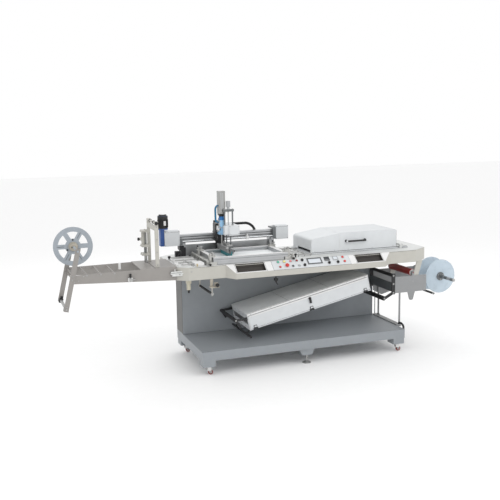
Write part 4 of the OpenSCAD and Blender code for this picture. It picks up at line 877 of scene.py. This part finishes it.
tl, th, ty = 1370.0, 175.0, -241.0
strips = Piece("tunnel_seams", "gasket", at=TUNNEL, bevel=0.2)
strips.box((6, ty - 0.9, 150.5), (tl - 6, ty, 152.6)).box((4, ty - 0.8, th - 3.0), (tl - 4, ty, th - 1.4))
strips.box((4, ty - 0.8, 11), (tl - 4, ty, 12.6))
strips.box((-0.8, -214, 58), (0, 214, 60)).box((-0.8, -214, 110), (0, 214, 112)).done()
trim = Piece("tunnel_edges", "fascia", at=TUNNEL, bevel=0.8)
trim.box((0, ty - 1.2, th - 1), (tl, ty + 14, th + 1.4)).box((0, ty - 2.2, 154), (tl, ty - 0.2, 170)).done()
top_lid = Piece("tunnel_lid_seams", "gasket", at=TUNNEL, bevel=0.2)
for x in (455, 915):
    top_lid.box((x, ty + 16, th), (x + 1.6, 236, th + 0.9))
top_lid.done()
frame_screws = Piece("tunnel_screws", "zinc_steel", at=TUNNEL)
for k in range(7):
    frame_screws.bolt((40 + 215 * k, ty - 2.2, 162), FRONT, 2.6, 2.2, 12)
for y in (-225, -120, 0, 120, 225):
    frame_screws.bolt((0, y, 150), LEFT, 4.0, 3.6, 12).bolt((0, y, 24), LEFT, 4.0, 3.6, 12)
frame_screws.done()
leaves = Piece("door_hinge_leaves", "black_plastic", "tunnel_door", TUNNEL, bevel=0.8)
fixed = Piece("body_hinge_leaves", "black_plastic", at=TUNNEL, bevel=0.8)
for x in (60, 685, 1310):
    leaves.box((x - 18, ty - 7.4, 16), (x + 18, ty - 3.5, 42)).box((x - 12, ty - 13.4, 3.6),
        (x + 12, ty - 6, 24))
    fixed.box((x - 23.5, ty - 13.8, -0.4), (x - 12.4, ty - 0.1, 14.8))
    fixed.box((x + 12.4, ty - 13.8, -0.4), (x + 23.5, ty - 0.1, 14.8))
leaves.done()
fixed.done()
door_fold = Piece("door_panel_edges", "fascia", "tunnel_door", TUNNEL, bevel=0.6)
door_fold.box((9, ty - 4.6, 134), (tl - 9, ty - 3.4, 148)).box((9, ty - 4.6, 15), (14, ty - 3.4, 132))
door_fold.box((tl - 14, ty - 4.6, 15), (tl - 9, ty - 3.4, 132)).done()
Piece("latch_lever", "black_plastic", "tunnel_latch", TUNNEL).lathe((685, ty - 4.4, 128), FRONT, [
    (0, 14), (3, 14.5), (10, 14.5), (13, 11)], 28).faces([
        [(685 + x * w, ty - y, 128 + z) for x, w in ((-1, a), (1, a))] + [
            (685 + a, ty - y - d, 128 + z), (685 - a, ty - y - d, 128 + z)]
        for z, a, y, d in ((4, 10.5, 6, 15), (-20, 9.6, 8, 15), (-40, 9.0, 7, 15.5),
            (-49, 6.0, 9, 10))]).done()
arms = Piece("arm_bolts", "zinc_steel")
for x, z in ((1063, 778), (1063, 594), (956, 541), (-697, 469), (1063, 690)):
    arms.bolt((x, -241.2, z), FRONT, 7.0, 5.5)
arms.bolt((-565, -241.2, 500), FRONT, 6.0, 5.0).done()
for node, x, z in (("tunnel_exit_roller", 956, 541), ("tunnel_lower_roller", -697, 469)):
    r = 23.0 if node == "tunnel_exit_roller" else 16.0
    grips = Piece(node + "_rings", "zinc_steel", node)
    for y in (-229.4, 221.4):
        grips.lathe((x, y, z), REAR, [(0, 10), (0.6, r - 4), (2, r - 2.5), (6, r - 2.5), (8, r - 4)], 32)
    grips.done()
    sleeve = Piece(node + "_sleeve", "black_rubber", node)
    sleeve.lathe((x, -218, z), REAR, [(0, r - 1), (1.5, r + 1.0), (431, r + 1.0), (432.5, r - 1)],
        36).done()
fold = Piece("rewind_cross_plate", "dark_steel", bevel=0.8, slot="dark_grey_paint")
fold.box((1043.8, -228, 608), (1045.2, 228, 706)).box((1043.2, -228, 700), (1054, 228, 706.5)).done()

# ---------- rewind ----------

wx, wz = 1729.0, 695.0
for name, y in (("front", -98.0), ("back", 92.0)):
    lip = Piece("disc_rim_" + name, "clear_plastic", "rewind_reel")
    lip.lathe((wx, y - 0.6, wz), REAR, [(0, 182.5), (0.3, 185.0), (6.9, 185.0), (7.2, 182.5)], 96)
    lip.done()
shaft = Piece("shaft_end", "dark_steel", "rewind_reel")
shaft.lathe((wx, -98.2, wz), FRONT, [(0, 44), (2, 46), (9, 46), (11, 40), (11.5, 24)], 40)
for y0, y1 in ((-172, -120), (-240, -184), (-346, -300)):
    shaft.faces([[(wx + x, y, wz + z) for x, z in knurled(40, 16.3, 16.9)] for y in (y0, y1)])
shaft.lathe((wx, -357, wz), FRONT, [(0, 15), (1, 13), (0.6, 7)], 24).done()
heads = Piece("disc_screws", "zinc_steel", "rewind_reel")
for k in range(3):
    t = 2 * pi * k / 3 + 0.5
    heads.bolt((wx + 33 * cos(t), -109, wz + 33 * sin(t)), FRONT, 4.5, 4.0)
heads.done()
gear2 = Piece("rewind_gearbox_parts", "dark_steel", bevel=1.5, slot="dark_grey_paint")
gear2.box((wx - 48, 250, wz - 48), (wx + 48, 262, wz + 48)).box((wx - 48, 356, wz - 48),
    (wx + 48, 370, wz + 48))
gear2.lathe((wx, 370, wz), REAR, [(0, 40), (4, 42), (10, 42), (14, 36)], 36).done()
rod2 = Piece("guide_tip", "zinc_steel", "rewind_guide_roller")
rod2.lathe((1555, -232.4, 545), FRONT, [(0, 11.4), (3, 13.4), (12, 13.4), (15, 9), (18, 9)], 24).done()
pull = Piece("pull_ends", "zinc_steel", "pull_roller")
for y, d in ((-222.2, -1), (222.2, 1)):
    pull.lathe((1300, y + d * 0.2, 792), (0, d, 0), [(-3, 33), (-0.2, 34), (0.3, 20)], 32)
pull.done()
legs = Piece("post_feet", "dark_steel")
for y in (-234, 218):
    legs.lathe((1143, y, 250), UP, [(0, 17), (5, 17), (6, 13), (14, 12)], 28)
legs.done()
Piece("post_hose", "black_rubber").tube(
    [(1136, -240, 262), (1140, -268, 266), (1142, -300, 258), (1138, -330, 240), (1128, -344, 222),
     (1112, -346, 210)], 11, n=18).done()

# ---------- plinth and cabinet ----------

step = Piece("plinth_seams", "gasket", bevel=0.2)
step.box((-1099, 279.2, 240.3), (1099, 280, 242.5)).box((-1099.6, 282, 300), (-1100.6, 284, 900))
step.box((-1098, -420, 240.2), (1098, -419.2, 240.9)).done()
pads = Piece("plinth_bolts", "zinc_steel")
for x in (-1060, -1000, 1000, 1060):
    pads.bolt((x, -411, 241), UP, 4.0, 3.5)
pads.done()
vents = Piece("cabinet_vents", "gasket", bevel=0.5)
for k in range(14):
    for x in (-820, 0, 820):
        vents.box((x - 120, 516, 420 + 22 * k), (x + 120, 519.9, 430 + 22 * k))
vents.done()
doors = Piece("cabinet_doors", "grey_paint", bevel=1.2)
for x in (-1075, -350, 375):
    doors.box((x, 516.0, 262), (x + 700, 519.6, 905))
doors.done()
pulls = Piece("cabinet_locks", "black_plastic")
for x in (-405, 320, 1045):
    pulls.lathe((x, 518, 600), REAR, [(0, 14), (0.8, 14), (1.4, 11), (1.9, 4)], 24)
pulls.done()

# ---------- casters and levelling feet ----------

for corner, x, y in (("front_left", -1032, -357.5), ("front_right", 1032, -357.5),
                ("back_left", -1032, 457.5), ("back_right", 1032, 457.5)):
    Piece("caster_plate_" + corner, "fascia", "caster_fork_" + corner, bevel=1.5, slot="zinc_steel").lathe(
        (x, y, 74), UP, [(0, 24), (3, 27), (9, 27), (13, 24)], 32).box(
        (x - 10, y - 18.5, 40), (x + 33, y - 16, 76)).box((x - 10, y + 16, 40),
        (x + 33, y + 18.5, 76)).done()
    tyre = Piece("caster_tyre_" + corner, "wheel_rubber", "caster_wheel_" + corner)
    tyre.lathe((x + 26, y - 11.2, 23), REAR, [(0, 18), (0.6, 21.5), (3, 22.9), (19.4, 22.9), (21.8, 21.5),
                                                 (22.4, 18)], 36).done()
    Piece("caster_hub_" + corner, "light_grey_plastic", "caster_wheel_" + corner, slot="zinc_steel").lathe(
        (x + 26, y - 12, 23), REAR, [(0, 5), (0.2, 13), (1.2, 14.5), (22.8, 14.5), (23.8, 13), (24, 5)],
        28).done()
feet = Piece("foot_nuts", "zinc_steel")
for y in (-375, 475):
    feet.lathe((0, y, 70), UP, [(0, 17), (10, 17), (11, 15)], 6)
feet.done()

# ---------- floor ----------

stage_mesh = bpy.data.meshes.new("floor")
stage_mesh.from_pydata([(-30, -30, 0), (30, -30, 0), (30, 30, 0), (-30, 30, 0)], [], [(0, 1, 2, 3)])
floor = bpy.data.objects.new("floor", stage_mesh)
add(floor)
floor_mat = material("floor", (0.95, 0.95, 0.95), rough=0.7, spread=0.01, bump=0.02)
floor.data.materials.append(floor_mat)
